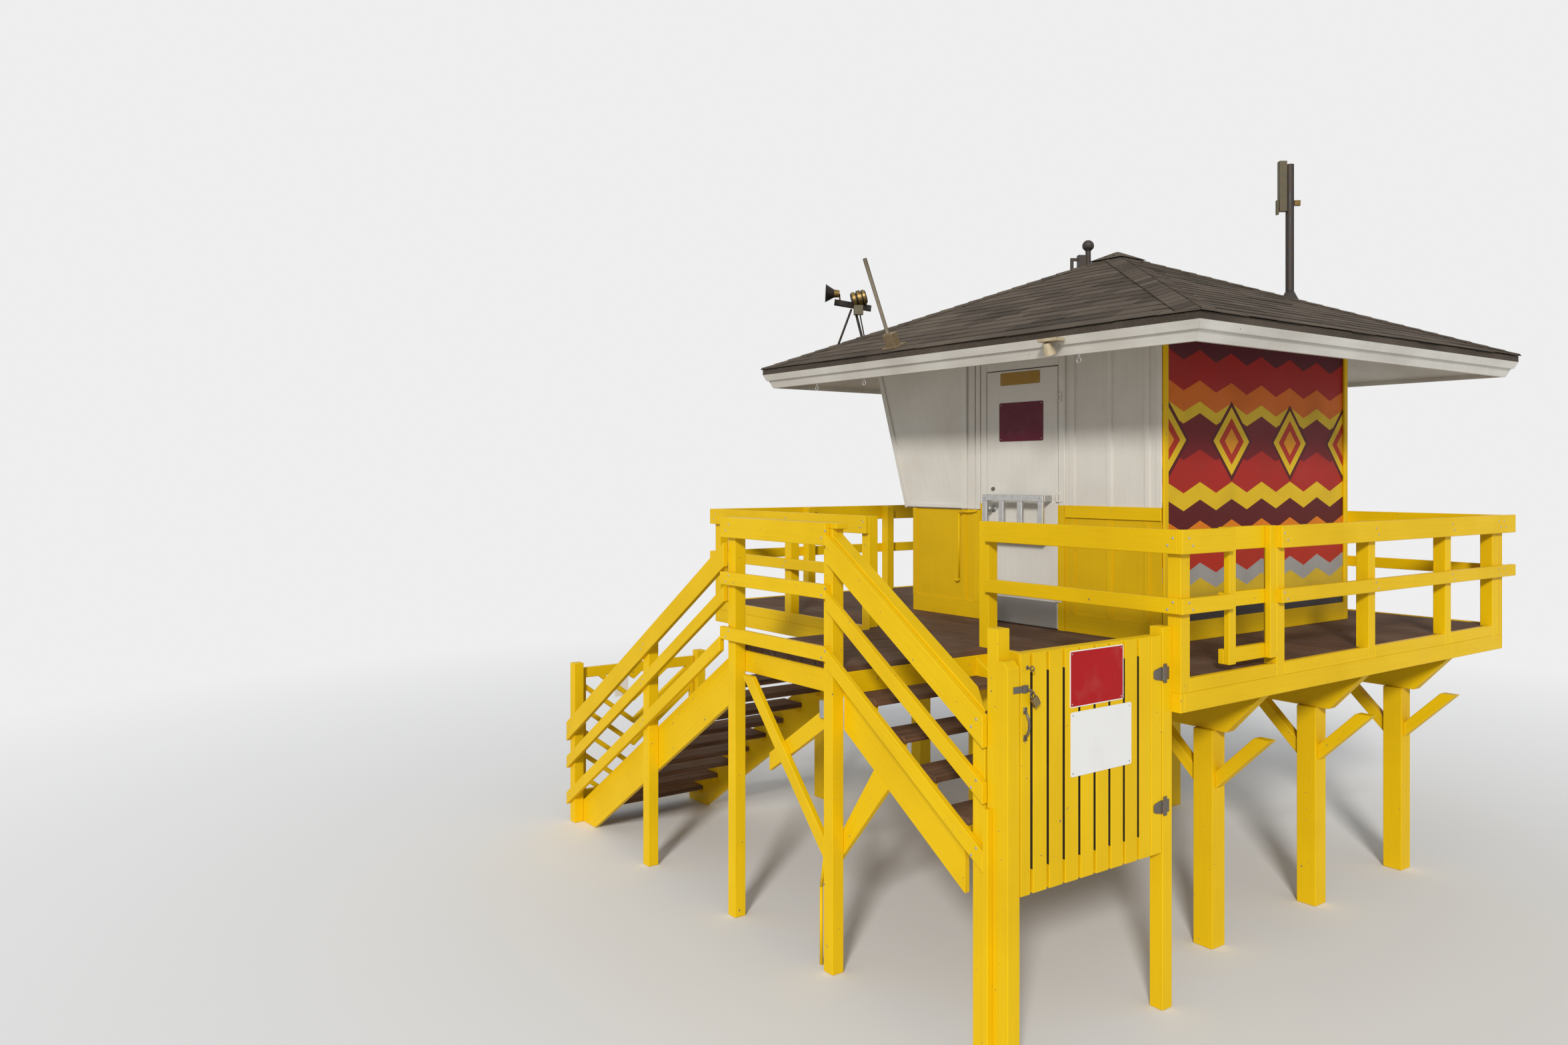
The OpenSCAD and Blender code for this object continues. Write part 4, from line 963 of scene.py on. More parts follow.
@dataclass
class HutSkin:
    """Boards, battens and wainscot on the hut's walls."""

    site: Site
    belt_top: float = 0.955
    belt_low: float = 0.862
    base_h: float = 0.14
    base_t: float = 0.016
    sheet_t: float = 0.006
    coat: float = 0.002
    batten: Pair = (0.040, 0.018)
    lean: float = 386/1220
    sill: float = 0.90
    jut: float = 0.084
    shutter_top: float = 2.12
    door_gap: float = 0.005
    stop_trim: Pair = (0.055, 0.030)
    door_side_battens: tuple[float, ...] = (0.50, 0.84, 1.165)
    far_side_pitch: float = 0.34
    ocean_side_bays: int = 7
    front_bays: int = 6
    front_step: float = 0.0246

    def build(self) -> None:
        """Dresses the four walls and the shutters."""
        self.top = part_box("soffit")[1].z - self.site.deck_z - 0.03
        self.door_side()
        self.land_side()
        self.far_side()
        self.ocean_side()
        self.side_shutters()
        self.shutter_trim()

    def front_y(self, height: float) -> float:
        """Gives the leaning front wall's outer place at a height above the deck."""
        return self.site.wall_y0 - self.jut - self.lean*(height - self.sill)

    def base(self, wall: WallFace, work: Carpenter, start: float, end: float) -> None:
        """Adds the base board along a stretch of a wall."""
        wall.sheet(work, (start + self.coat, end - self.coat), (0, self.base_h), self.base_t)

    def door_side(self) -> None:
        """Dresses the wall with the door, and paints the casing's lower half."""
        s = self.site
        wall = WallFace(Vector((s.wall_x1, 0, s.deck_z)), TO_LAND, TO_DOOR)
        casing_low, casing_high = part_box("door_casing")
        left, right = casing_low.y, casing_high.y
        white = Carpenter("door_side_white_boards", Finish.WHITE_WALL)
        yellow = Carpenter("door_side_wainscot", Finish.YELLOW_WALL)
        wall.sheet(yellow, (right + 0.001, s.wall_y1), (0, self.belt_low), self.sheet_t)
        wall.sheet(yellow, (s.wall_y0, left - 0.001), (0, self.sill), self.sheet_t)
        self.base(wall, yellow, right, s.wall_y1)
        self.base(wall, yellow, s.wall_y0, left)
        upper, stop = (self.belt_top, self.top), (self.sill + 0.005, self.top)
        wall.sheet(white, (right + 0.001, s.wall_y1 + 0.001), upper, self.sheet_t)
        middle = s.middle().y
        for run in self.door_side_battens:
            wall.upright(yellow, middle + run, (self.base_h, self.belt_low - 0.012), *self.batten)
            wall.upright(white, middle + run, upper, *self.batten)
        for run, width in ((s.wall_y0 + 0.025, 0.05), (left - 0.20, 0.04), (left - 0.05, 0.07)):
            wall.upright(yellow, run, (self.base_h, self.sill), width, self.batten[1])
        for back, width, thick in ((0.19, *self.stop_trim), (0.115, 0.075, 0.014), (0.03, 0.045, 0.026)):
            wall.upright(white, left - back, stop, width, thick)
        wall.upright(white, s.wall_y1 - 0.02, upper, 0.04, 0.012)
        stand = casing_high.x - s.wall_x1
        for inner, outer, coat in ((s.door_low.y - self.door_gap, left, -self.coat),
                                   (s.door_high.y + self.door_gap, right, self.coat)):
            corner = wall.at(outer + coat, self.belt_top, stand + self.coat)
            yellow.block(wall.at(inner, 0, stand), corner)
            yellow.block(wall.at(outer - coat, 0), corner)
        white.deliver(slot="white_boards")
        yellow.deliver(slot="yellow_wall")

    def land_side(self) -> None:
        """Closes the top of the painted wall with a board."""
        s = self.site
        work = Carpenter("land_wall_top_board", Finish.YELLOW_PAINT)
        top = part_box("wall_trim")[1].z
        work.block((s.wall_x0 + 0.051, s.wall_y1, top - 0.06),
                   (s.wall_x1 - 0.051, s.wall_y1 + self.base_t, top - 0.02))
        work.deliver(slot="yellow_paint")

    def far_side(self) -> None:
        """Dresses the wall away from the door, from the door side's pattern."""
        s = self.site
        wall = WallFace(Vector((s.wall_x0, 0, s.deck_z)), TO_LAND, -TO_DOOR)
        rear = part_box("side_shutters")[1].y
        white = Carpenter("far_side_white_boards", Finish.WHITE_WALL)
        yellow = Carpenter("far_side_wainscot", Finish.YELLOW_WALL)
        upper = (self.belt_top, self.top)
        wall.sheet(yellow, (s.wall_y0, s.wall_y1), (0, self.belt_low), self.sheet_t)
        self.base(wall, yellow, s.wall_y0, s.wall_y1)
        wall.sheet(yellow, (rear + 0.09, s.wall_y1), (self.belt_low, self.belt_top), 0.019)
        wall.sheet(white, (rear + 0.01, s.wall_y1 + 0.001), upper, self.sheet_t)
        for i in range(int((s.wall_y1 - s.wall_y0)/self.far_side_pitch) + 1):
            run = s.wall_y1 - 0.03 - i*self.far_side_pitch
            wall.upright(yellow, run, (self.base_h, self.belt_low), *self.batten)
            if run > rear + 0.06:
                wall.upright(white, run, upper, *self.batten)
        wall.upright(white, rear + 0.035, (self.sill + 0.005, self.top), *self.stop_trim)
        white.deliver(slot="white_boards")
        yellow.deliver(slot="yellow_wall")

    def ocean_side(self) -> None:
        """Dresses the half wall under the leaning front."""
        s = self.site
        wall = WallFace(Vector((0, s.wall_y0, s.deck_z)), TO_DOOR, -TO_LAND)
        yellow = Carpenter("ocean_side_wainscot", Finish.YELLOW_WALL)
        wall.sheet(yellow, (s.wall_x0, s.wall_x1), (0, self.sill), self.sheet_t)
        self.base(wall, yellow, s.wall_x0, s.wall_x1)
        for run in np.linspace(s.wall_x0 + 0.025, s.wall_x1 - 0.025, self.ocean_side_bays + 1):
            wall.upright(yellow, float(run), (self.base_h, self.sill - 0.01), *self.batten)
        yellow.deliver(slot="yellow_wall")

    def side_shutters(self) -> None:
        """Makes the side shutters up to behind the fascia."""
        s = self.site
        low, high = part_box("side_shutters")
        base, top = low.z - s.deck_z, self.shutter_top
        outline = ((high.y, base), (self.front_y(base), base), (self.front_y(top), top), (high.y, top))
        panels = Carpenter("side_shutter_boards", Finish.WHITE_WALL, 0.003)
        for face, wall in ((high.x, s.wall_x1), (low.x, s.wall_x0)):
            panels.slab([(wall, y, s.deck_z + z) for y, z in outline], TO_DOOR*(face - wall))
        panels.deliver(slot="white_boards", replaces=("side_shutters",))

    def shutter_trim(self) -> None:
        """Adds the trim of the side shutters and the battens of the front shutters."""
        z = self.site.deck_z
        low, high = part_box("side_shutters")
        work = Carpenter("shutter_trim", Finish.WHITE_WALL)
        foot, head = self.front_y(low.z - z), self.front_y(self.shutter_top)
        for x, out in ((high.x, TO_DOOR), (low.x, -TO_DOOR)):
            work.bar((x, foot + 0.028, low.z), (x, head + 0.028, z + self.shutter_top), 0.05, 0.012, out)
            work.bar((x, high.y, low.z + 0.02), (x, foot + 0.06, low.z + 0.02), 0.03, 0.010, out)
        low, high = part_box("front_shutters")
        step = self.front_step/math.cos(math.atan(self.lean))
        y0 = self.front_y(low.z - z) - step
        y1 = y0 - self.lean*(high.z - low.z)
        for x in np.linspace(low.x + 0.03, high.x - 0.03, self.front_bays + 1):
            work.bar((x, y0, low.z), (x, y1, high.z), 0.045, 0.012, Vector((0, -1, -self.lean)))
        work.deliver(slot="white_boards")


@dataclass
class DoorFittings:
    """Plates, a grey band of painted shade at its foot, knob, bolt and rack of the entrance door."""

    site: Site
    rack_rail: float = 0.048
    rack_t: float = 0.022
    rack_arm: float = 0.006
    rack_floor: float = 0.004
    rack_bars: tuple[float, ...] = (0.0, 0.31, 0.64, 1.0)
    rack_bolt_in: float = 0.024

    def build(self) -> None:
        """Makes the fittings, all on the door."""
        s = self.site
        corner = Vector((s.door_high.x, s.door_low.y, s.deck_z))
        middle = Vector((s.door_high.x, (s.door_low.y + s.door_high.y)/2, s.deck_z))
        bare_plate("door_plate", Finish.MAROON_PLATE, middle + UP*1.61, (0.46, 0.31), TO_DOOR, "door")
        bare_plate("door_head_plate", Finish.OCHRE_PLATE, middle + Vector((0, -0.01, 1.955)), (0.41, 0.10),
                   TO_DOOR, "door", thick=0.006)
        # A thin grey band over the door's foot: painted shade on the white door
        foot_shade = Carpenter("door_kick_band", Finish.GREY_KICK)
        foot_shade.block((corner.x, s.door_low.y + 0.004, s.door_low.z + 0.004),
                   (corner.x + 0.003, s.door_high.y - 0.004, s.deck_z + 0.21))
        foot_shade.deliver("door", "white_boards")
        knob = Carpenter("door_knob", Finish.GALVANISED, 0.0)
        at = corner + Vector((0, 0.077, 0.915))
        knob.rod(at, at + TO_DOOR*0.045, 0.011)
        knob.head(at + TO_DOOR*0.055, TO_DOOR, 0.026, 0.7)
        knob.rod(at, at + TO_DOOR*0.006, 0.030)
        knob.deliver("door", STEEL, smooth=True)
        bolt = Carpenter("door_bolt", Finish.HINGE_STEEL, 0.0)
        at = corner + Vector((0, 0.075, 1.075))
        bolt.rod(at, at + TO_DOOR*0.018, 0.016, 0.012)
        bolt.deliver("door", STEEL)
        self.rack()

    def rack(self) -> None:
        """Makes the rack: a front frame with two wide bars, its side arms and its floor."""
        low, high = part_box("door_rack")
        work = Carpenter("door_rack_frame", Finish.ALUMINIUM, 0.002)
        rail, arm, front = self.rack_rail, self.rack_arm, high.x - self.rack_t
        for z in (low.z, high.z - rail):
            work.block((front, low.y, z), (high.x, high.y, z + rail))
            for y in (low.y, high.y - arm):
                work.block((low.x, y, z), (front, y + arm, z + rail))
        for share in self.rack_bars:
            y = low.y + (high.y - low.y - rail)*share
            work.block((front, y, low.z + rail), (high.x, y + rail, high.z - rail))
        work.block((low.x, low.y + arm, low.z), (front, high.y - arm, low.z + self.rack_floor))
        work.deliver("door", "rack_metal", replaces=("door_rack",))
        heads = Carpenter("rack_bolts", Finish.GALVANISED, 0.0)
        inset = self.rack_bolt_in
        for y in (low.y + inset, high.y - inset):
            for z in (low.z + inset, high.z - inset):
                heads.head((high.x, y, z), TO_DOOR, 0.008)
        heads.deliver("door", STEEL, smooth=True)


def bare_plate(name: str, finish: Finish, middle: Vector, size: tuple[float, float], out: Vector, body: str,
               thick: float = 0.0025, corner: float = 0.012) -> None:
    """Makes a bare plate with rounded corners and four screws.

    Args:
        name: Name of the piece.
        finish: Its enamel.
        middle: Middle of its back, on the surface.
        size: Its width and height.
        out: The surface's outward direction.
        body: The body that it rides on.
        thick: Its thickness.
        corner: Radius of its corners.
    """
    width, height = size
    plate = Carpenter(name, finish, 0.0)
    plate.bar(middle - UP*height/2, middle + UP*height/2, width, thick, out)
    across = [e for e in plate.bm.edges if abs((e.verts[0].co - e.verts[1].co).normalized().dot(out)) > 0.99]
    plate.ease(across, corner, 4)
    plate.deliver(body)
    side = out.cross(UP).normalized()
    screws = Carpenter(f"{name}_screws", Finish.GALVANISED, 0.0)
    for a in (-1, 1):
        for b in (-1, 1):
            at = middle + side*a*(width/2 - SCREW_IN) + UP*b*(height/2 - SCREW_IN) + out*thick
            screws.head(at, out, 0.005)
    screws.deliver(body, STEEL, smooth=True)


@dataclass
class LandGate:
    """Pickets and rails of the land gate, with slots from end to end and dark strips of painted shade on the
    slots' walls.
    """

    picket_t: float = 0.022
    slot_w: float = 0.020
    slot_pitch: float = 0.125
    first_slot: float = 0.0815
    slots: int = 8
    last_board: float = 0.096
    seam: float = 0.004
    rail_low: float = 0.006
    rail_h: float = 0.120
    rail_top_h: float = 0.082
    rail_in: float = 0.025

    def build(self) -> None:
        """Makes the gate's boards."""
        low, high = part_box("land_gate")
        back, rail_top = high.y - self.picket_t, low.z + self.rail_low + self.rail_h
        work = Carpenter("land_gate_boards", Finish.YELLOW_PAINT, 0.003)
        # Dark strips on both walls of each slot are painted shade, for the shade deep in the narrow slots
        edges = Carpenter("land_gate_slot_edges", Finish.BARE_EDGE, 0.0)
        slots = [high.x - self.first_slot - i*self.slot_pitch for i in range(self.slots)]
        for at in slots:
            for side in (-1, 1):
                edge = at + side*(self.slot_w/2 - 0.0005)
                edges.block((edge - 0.0006, back, rail_top),
                            (edge + 0.0006, high.y - 0.0035, high.z - self.rail_top_h - 0.02))
        edges.deliver("land_gate", "yellow_paint")
        cuts = [(at, self.slot_w) for at in slots] + [(low.x + self.last_board, self.seam), (low.x, 0.0)]
        right = high.x
        for at, width in cuts:
            drop = work.luck.uniform(-0.002, 0.0)
            work.block((at + width/2, back, low.z - drop), (right, high.y, high.z + drop))
            right = at - width/2
        for z0, z1 in ((low.z + self.rail_low, rail_top), (high.z - self.rail_top_h, high.z - 0.001)):
            work.block((low.x + self.rail_in, low.y, z0), (high.x - self.rail_in, back, z1))
        work.deliver("land_gate", "yellow_paint", replaces=("land_gate",))


def start_angle(axis: Vector, towards: Vector) -> float:
    """Gives the angle, in a loop's own measure round its axis, at which the loop points a way."""
    flat = UP.rotation_difference(axis).to_matrix().inverted() @ towards
    return math.atan2(flat.y, flat.x)


@dataclass
class GateFittings:
    """Plates, hinge plates, handle, hasp and lock of the land gate, and the plate of the ocean gate."""

    knuckle_h: float = 0.036
    plate_t: float = 0.0055
    strap_half: tuple[float, float, float] = (0.040, 0.027, 0.018)
    strap_nose: float = 0.012
    leaf: Pair = (0.044, 0.014)
    leaf_half: float = 0.055
    leaf_screws: tuple[float, ...] = (-0.030, 0.0, 0.030)
    screw: float = 0.005
    staple: Pair = (0.02, 0.181)
    sag: float = 0.030

    def build(self) -> None:
        """Makes the fittings, each on its gate."""
        self.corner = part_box("land_gate")[1]
        red = self.from_corner(0.598, 0.171)
        bare_plate("gate_red_plate", Finish.WHITE_PLATE, red, (0.445, 0.304), TO_LAND, "land_gate")
        field = Carpenter("gate_red_field", Finish.RED_PLATE, 0.0)
        field.bar(red - UP*0.146, red + UP*0.146, 0.433, 0.0031, TO_LAND)
        field.deliver("land_gate")
        bare_plate("gate_white_plate", Finish.WHITE_PLATE, self.from_corner(0.636, 0.52), (0.508, 0.345),
                   TO_LAND, "land_gate")
        self.handle()
        self.hasp()
        self.padlock()
        self.eye()
        self.hinge_plates()
        low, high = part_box("ocean_gate")
        bare_plate("ocean_gate_plate", Finish.WHITE_PLATE, Vector((high.x - 0.412, low.y, high.z - 0.21)),
                   (0.14, 0.19), -TO_LAND, "ocean_gate", corner=0.008)

    def from_corner(self, back: float, down: float) -> Vector:
        """Gives the place on the land gate so far back and down from its upper latch corner."""
        return self.corner - Vector((back, 0, down))

    def hinge_plates(self) -> None:
        """Makes the tapered straps on the land gate and the upright leaves on its post."""
        low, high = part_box("land_gate")
        strap_low, strap_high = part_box("land_gate_hardware")
        straps = Carpenter("land_gate_straps", Finish.HINGE_STEEL, 0.0008)
        leaves = Carpenter("land_gate_leaves", Finish.HINGE_STEEL, 0.0008)
        root, tip = low.x + 0.004, strap_high.x + 0.006
        upper = list(zip((root, tip - self.strap_nose, tip), self.strap_half))
        outline = [(x, -half) for x, half in upper] + upper[::-1]
        face, head = high.y, high.y + self.plate_t
        for z in (strap_low.z + self.knuckle_h/2, strap_high.z - self.knuckle_h/2):
            straps.slab([(x, face, z + rise) for x, rise in outline], TO_LAND*self.plate_t)
            leaves.block((low.x - self.leaf[0], face, z - self.leaf_half),
                         (low.x - self.leaf[1], head, z + self.leaf_half))
            for rise in self.leaf_screws:
                leaves.head((low.x - 0.034, head, z + rise), TO_LAND, self.screw)
            for x, rise in ((root + 0.018, -0.022), (root + 0.018, 0.022), (tip - 0.018, 0.0)):
                straps.head((x, head, z + rise), TO_LAND, self.screw)
        straps.deliver("land_gate", STEEL)
        leaves.deliver(slot=STEEL)

    def handle(self) -> None:
        """Makes the bow handle between its two feet."""
        work = Carpenter("gate_handle", Finish.HINGE_STEEL, 0.0)
        low, high = self.from_corner(0.03, 0.434), self.from_corner(0.03, 0.293)
        half = (high - low).length/2
        ring = (half*half + self.sag*self.sag)/(2*self.sag)
        sweep = 2*math.asin(half/ring)
        work.loop((low + high)/2 - TO_LAND*(ring - self.sag), TO_DOOR, ring, 0.007,
                  start_angle(TO_DOOR, TO_LAND) - sweep/2, sweep)
        for foot in (low, high):
            work.bar(foot - UP*0.016, foot + UP*0.016, 0.026, 0.003, TO_LAND)
            work.head(foot + TO_LAND*0.003, TO_LAND, 0.004)
        work.deliver("land_gate", STEEL, smooth=True)

    def hasp(self) -> None:
        """Makes the hasp strap and its staple."""
        staple = self.from_corner(*self.staple)
        work = Carpenter("gate_hasp", Finish.HINGE_STEEL, 0.0008)
        work.bar(staple - TO_DOOR*0.034, staple + TO_DOOR*0.078, 0.034, 0.004, TO_LAND)
        work.bar(staple - TO_DOOR*0.020, staple + TO_DOOR*0.010, 0.040, 0.008, TO_LAND)
        for x in (0.04, 0.066):
            work.head(staple + Vector((x, 0.004, 0)), TO_LAND, self.screw)
        work.deliver("land_gate", STEEL)

    def padlock(self) -> None:
        """Makes the tilted padlock that hangs in the hasp."""
        staple = self.from_corner(*self.staple)
        lock = Carpenter("gate_padlock_body", Finish.BRASS, 0.003)
        at = staple + Vector((-0.066, 0.012, -0.068))
        tilt = Vector((0.62, 0, 1)).normalized()
        side = TO_LAND.cross(tilt)
        lock.bar(at - tilt*0.025, at + tilt*0.025, 0.046, 0.020, TO_LAND)
        lock.deliver("land_gate", STEEL)
        bow = Carpenter("gate_padlock_bow", Finish.HINGE_STEEL, 0.0)
        for reach in (-0.014, 0.014):
            foot = at + tilt*0.022 + side*reach + TO_LAND*0.010
            bow.rod(foot, foot + tilt*0.026, 0.004, sides=10)
        bow.loop(at + tilt*0.048 + TO_LAND*0.010, TO_LAND, 0.014, 0.004,
                 start_angle(TO_LAND, side if side.z > 0 else -side), math.pi)
        bow.loop(staple + Vector((-0.034, 0.010, -0.006)), UP, 0.012, 0.004)
        bow.deliver("land_gate", STEEL, smooth=True)

    def eye(self) -> None:
        """Makes the eye bolt near the gate's top."""
        at = self.from_corner(0.048, 0.074)
        work = Carpenter("gate_eye_bolt", Finish.HINGE_STEEL, 0.0)
        work.rod(at, at + TO_LAND*0.022, 0.004)
        work.loop(at + TO_LAND*0.034, TO_DOOR, 0.012, 0.0035)
        work.head(at, TO_LAND, 0.012, 0.25)
        work.deliver("land_gate", STEEL, smooth=True)


@dataclass
class RailBolts:
    """Bolt heads where rails cross their posts."""

    posts: tuple[str, ...] = ("railing_posts", "landing_posts", "ocean_newels", "land_newels")
    rails: tuple[str, ...] = ("land_rails", "ocean_rails", "far_rails", "door_side_rails", "landing_rails",
                              "ocean_handrails", "land_handrails")
    radius: float = 0.008
    dome: float = 0.4
    rise: float = 0.022
    step: float = 0.018
    thickest: float = 0.06
    slack: float = 0.01
    behind: float = 0.03

    def build(self) -> None:
        """Finds the crossings and sets two heads at each."""
        low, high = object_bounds()
        middle = (low + high)/2
        work = Carpenter("rail_bolts", Finish.GALVANISED, 0.0)
        posts = [post for node in self.posts for post in Board.of_node(node)]
        rails = [rail for node in self.rails for rail in Board.of_node(node)]
        for rail in rails:
            size = rail.high - rail.low
            flat = 0 if size.x < size.y else 1
            side = -1 if rail.middle[flat] < middle[flat] else 1
            if size[flat] <= self.thickest:
                for post in posts:
                    self.crossing(work, rail, post, flat, side)
        work.deliver(slot=STEEL, smooth=True)

    def crossing(self, work: Carpenter, rail: Board, post: Board, flat: int, side: int) -> None:
        """Sets two heads on a rail where it crosses a post.

        Args:
            work: The piece.
            rail: The rail.
            post: The post.
            flat: The axis across the rail's thickness.
            side: Which way along that axis its outer face looks.
        """
        run = 1 - flat
        back = rail.middle[flat] - side*self.behind
        near = post.low[flat] - self.slack <= back <= post.high[flat] + self.slack
        if not (near and rail.low[run] < post.middle[run] < rail.high[run]):
            return
        z = rail.middle.z + rail.long.z*(post.middle[run] - rail.middle[run])/rail.long[run]
        if z > post.high.z + self.behind:
            return
        for way in (-1, 1):
            at = Vector((0, 0, z + way*self.rise))
            at[flat] = (rail.low if side < 0 else rail.high)[flat]
            at[run] = post.middle[run] + way*self.step
            work.head(at, (TO_DOOR, TO_LAND)[flat]*side, self.radius, self.dome)


@dataclass
class RoofGear:
    """Lamps on their stand, the leaning pole with its clamp, and the finishes of the mast's parts."""

    heading: float = -35.5
    thin: float = 0.06
    # Places on the stand, by their steps across, up and nearer from its head
    bar_ends: tuple[Spot, Spot] = ((-0.150, 0.038), (0.180, -0.019))
    bar_width: Spot = (0.038, 0.043, -0.040)
    bar_t: float = 0.014
    leg_tops: tuple[Spot, ...] = ((0.004, -0.020), (0.040, -0.040), (0.080, -0.060, -0.01))
    leg_feet: tuple[Spot, ...] = ((-0.123, 0.0, 0.02), (0.100, 0.0, 0.02), (0.128, 0.0, -0.03))
    leg_radii: tuple[float, ...] = (0.010, 0.012, 0.006)
    cone: tuple[Spot, ...] = ((-0.229, 0.124), (-0.155, 0.121), (-0.104, 0.119))
    cone_radii: tuple[float, ...] = (0.082, 0.038, 0.032)
    drum: tuple[Spot, Spot] = ((0.005, 0.0585), (0.136, 0.0935))
    drum_radius: float = 0.058
    clamp: tuple[Spot, Spot] = ((0.065, -0.075), (0.065, 0.012))
    # Rings of the drum, from and to a share of its length, and their radius
    rings: tuple[Spot, ...] = ((0.05, 0.28, 0.070), (0.40, 0.66, 0.073), (0.74, 0.92, 0.069))
    pole_reach: Spot = (0.287, 0, 0.688)
    pole_radii: Pair = (0.0145, 0.0165)

    def build(self) -> None:
        """Makes the gear, laid out across the view of the hut's door corner."""
        turn = math.radians(self.heading)
        self.left = Vector((math.cos(turn), math.sin(turn), 0))
        self.near = Vector((-self.left.y, self.left.x, 0))
        low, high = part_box("roof_shell")
        self.peak = Vector(((low.x + high.x)/2, (low.y + high.y)/2, high.z))
        self.half = (high - low)/2
        self.lamps()
        self.pole()
        self.mast()

    def at(self, origin: Vector, across: float, rise: float, near: float = 0.0) -> Vector:
        """Gives the place so far to the right of another, above it and nearer to the viewer."""
        return origin - self.left*across + UP*rise + self.near*near

    def on_roof(self, place: Vector) -> Vector:
        """Gives the place on the roof under or over another."""
        share = max(abs(place.x - self.peak.x)/self.half.x, abs(place.y - self.peak.y)/self.half.y)
        return Vector((place.x, place.y, self.peak.z - ROOF_RISE*share))

    def lamps(self) -> None:
        """Makes the sloping bar on three legs, a cone lamp and a ribbed drum lamp."""
        level = [board for board in Board.of_node("floodlights") if board.high.z - board.low.z < self.thin]
        bar = max(level, key=lambda board: board.half)
        head = Vector((bar.middle.x, bar.middle.y, bar.low.z))
        dark = Carpenter("lamp_stand", Finish.LAMP_DARK, 0.0)
        start, end = (self.at(head, *place) for place in self.bar_ends)
        width = self.at(Vector(), *self.bar_width)
        dark.bar(start, end, width.length, self.bar_t, (end - start).cross(width))
        for top, foot, radius in zip(self.leg_tops, self.leg_feet, self.leg_radii):
            dark.rod(self.at(head, *top), self.on_roof(self.at(head, *foot)), radius)
        mouth, waist, neck = (self.at(head, *place) for place in self.cone)
        dark.rod(mouth, waist, *self.cone_radii[:2], 24)
        dark.rod(neck, self.at(head, -0.098, 0.045), 0.007)
        left, right = (self.at(head, *place) for place in self.drum)
        dark.rod(left, right, self.drum_radius, sides=24)
        dark.rod(self.at(head, 0.07, 0.03), self.at(head, 0.07, -0.01), 0.02)
        dark.deliver(slot="lamp_metal", replaces=("floodlights",))
        bronze = Carpenter("lamp_bronze_rings", Finish.BRONZE, 0.002)
        bronze.rod(waist, neck, *self.cone_radii[1:], 24)
        for near, far, radius in self.rings:
            bronze.rod(left.lerp(right, near), left.lerp(right, far), radius, sides=24)
        bronze.deliver(slot="lamp_metal").data.set_sharp_from_angle(angle=CREASE)
        case = Carpenter("lamp_clamp", Finish.KHAKI_CASE, 0.004)
        case.bar(*(self.at(head, *place) for place in self.clamp), 0.085, 0.055, self.near)
        case.deliver(slot="lamp_metal")

    def pole(self) -> None:
        """Makes the leaning pole and the clamp at its foot, square to the roof."""
        rod = max(Board.of_node("leaning_pole"), key=lambda board: board.half)
        square = Vector((ROOF_RISE/self.half.x, 0, 1)).normalized()
        foot = self.on_roof(self.at(Vector((rod.low.x, rod.middle.y, 0)), -0.035, 0.0))
        work = Carpenter("leaning_pole_timber", Finish.POLE, 0.0)
        work.rod(foot + square*0.03, foot + Vector(self.pole_reach), *self.pole_radii)
        work.deliver(slot="grey_pole", replaces=("leaning_pole",))
        clamp = Carpenter("leaning_pole_clamp", Finish.TAN_CLAMP, 0.004)
        across = square.cross(TO_LAND)
        base = foot + TO_LAND*0.02
        clamp.bar(base + across*0.035, base + square*0.125 + across*0.035, 0.11, 0.07, -across)
        clamp.bar(base - TO_LAND*0.075, base + TO_LAND*0.095, 0.13, 0.024, square)
        clamp.deliver(slot="grey_pole")

    def mast(self) -> None:
        """Gives the mast's pole, cases and clamps their finishes."""
        low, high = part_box("mast")
        middle = (low + high)/2

        def finish_of(part: Board) -> Finish:
            """Tells the pole from the cases and the clamp."""
            if part.low.z < low.z + 0.2:
                return Finish.MAST
            return Finish.KHAKI_CASE if (part.middle - middle).dot(self.left) > 0 else Finish.BRONZE

        dress_apart("mast", "mast_metal", finish_of)


def dress_apart(node: str, slot: str, finish_of: Callable[[Board], Finish]) -> None:
    """Gives the solids of one node finishes of their own.

    Args:
        node: The CAD node.
        slot: The record's material slot.
        finish_of: Picks the finish of a solid.
    """
    picks = [finish_of(part) for part in Board.of_node(node)]
    for i, finish in enumerate(dict.fromkeys(picks)):
        work = Carpenter(f"{node}_{finish.value.name}", finish, 0.001, node)
        for faces, pick in zip(islands(work.bm), picks):
            if pick is not finish:
                bmesh.ops.delete(work.bm, geom=faces, context="FACES")
        piece = work.deliver(slot=slot, replaces=() if i else (node,), smooth=True)
        piece.data.set_sharp_from_angle(angle=CREASE)


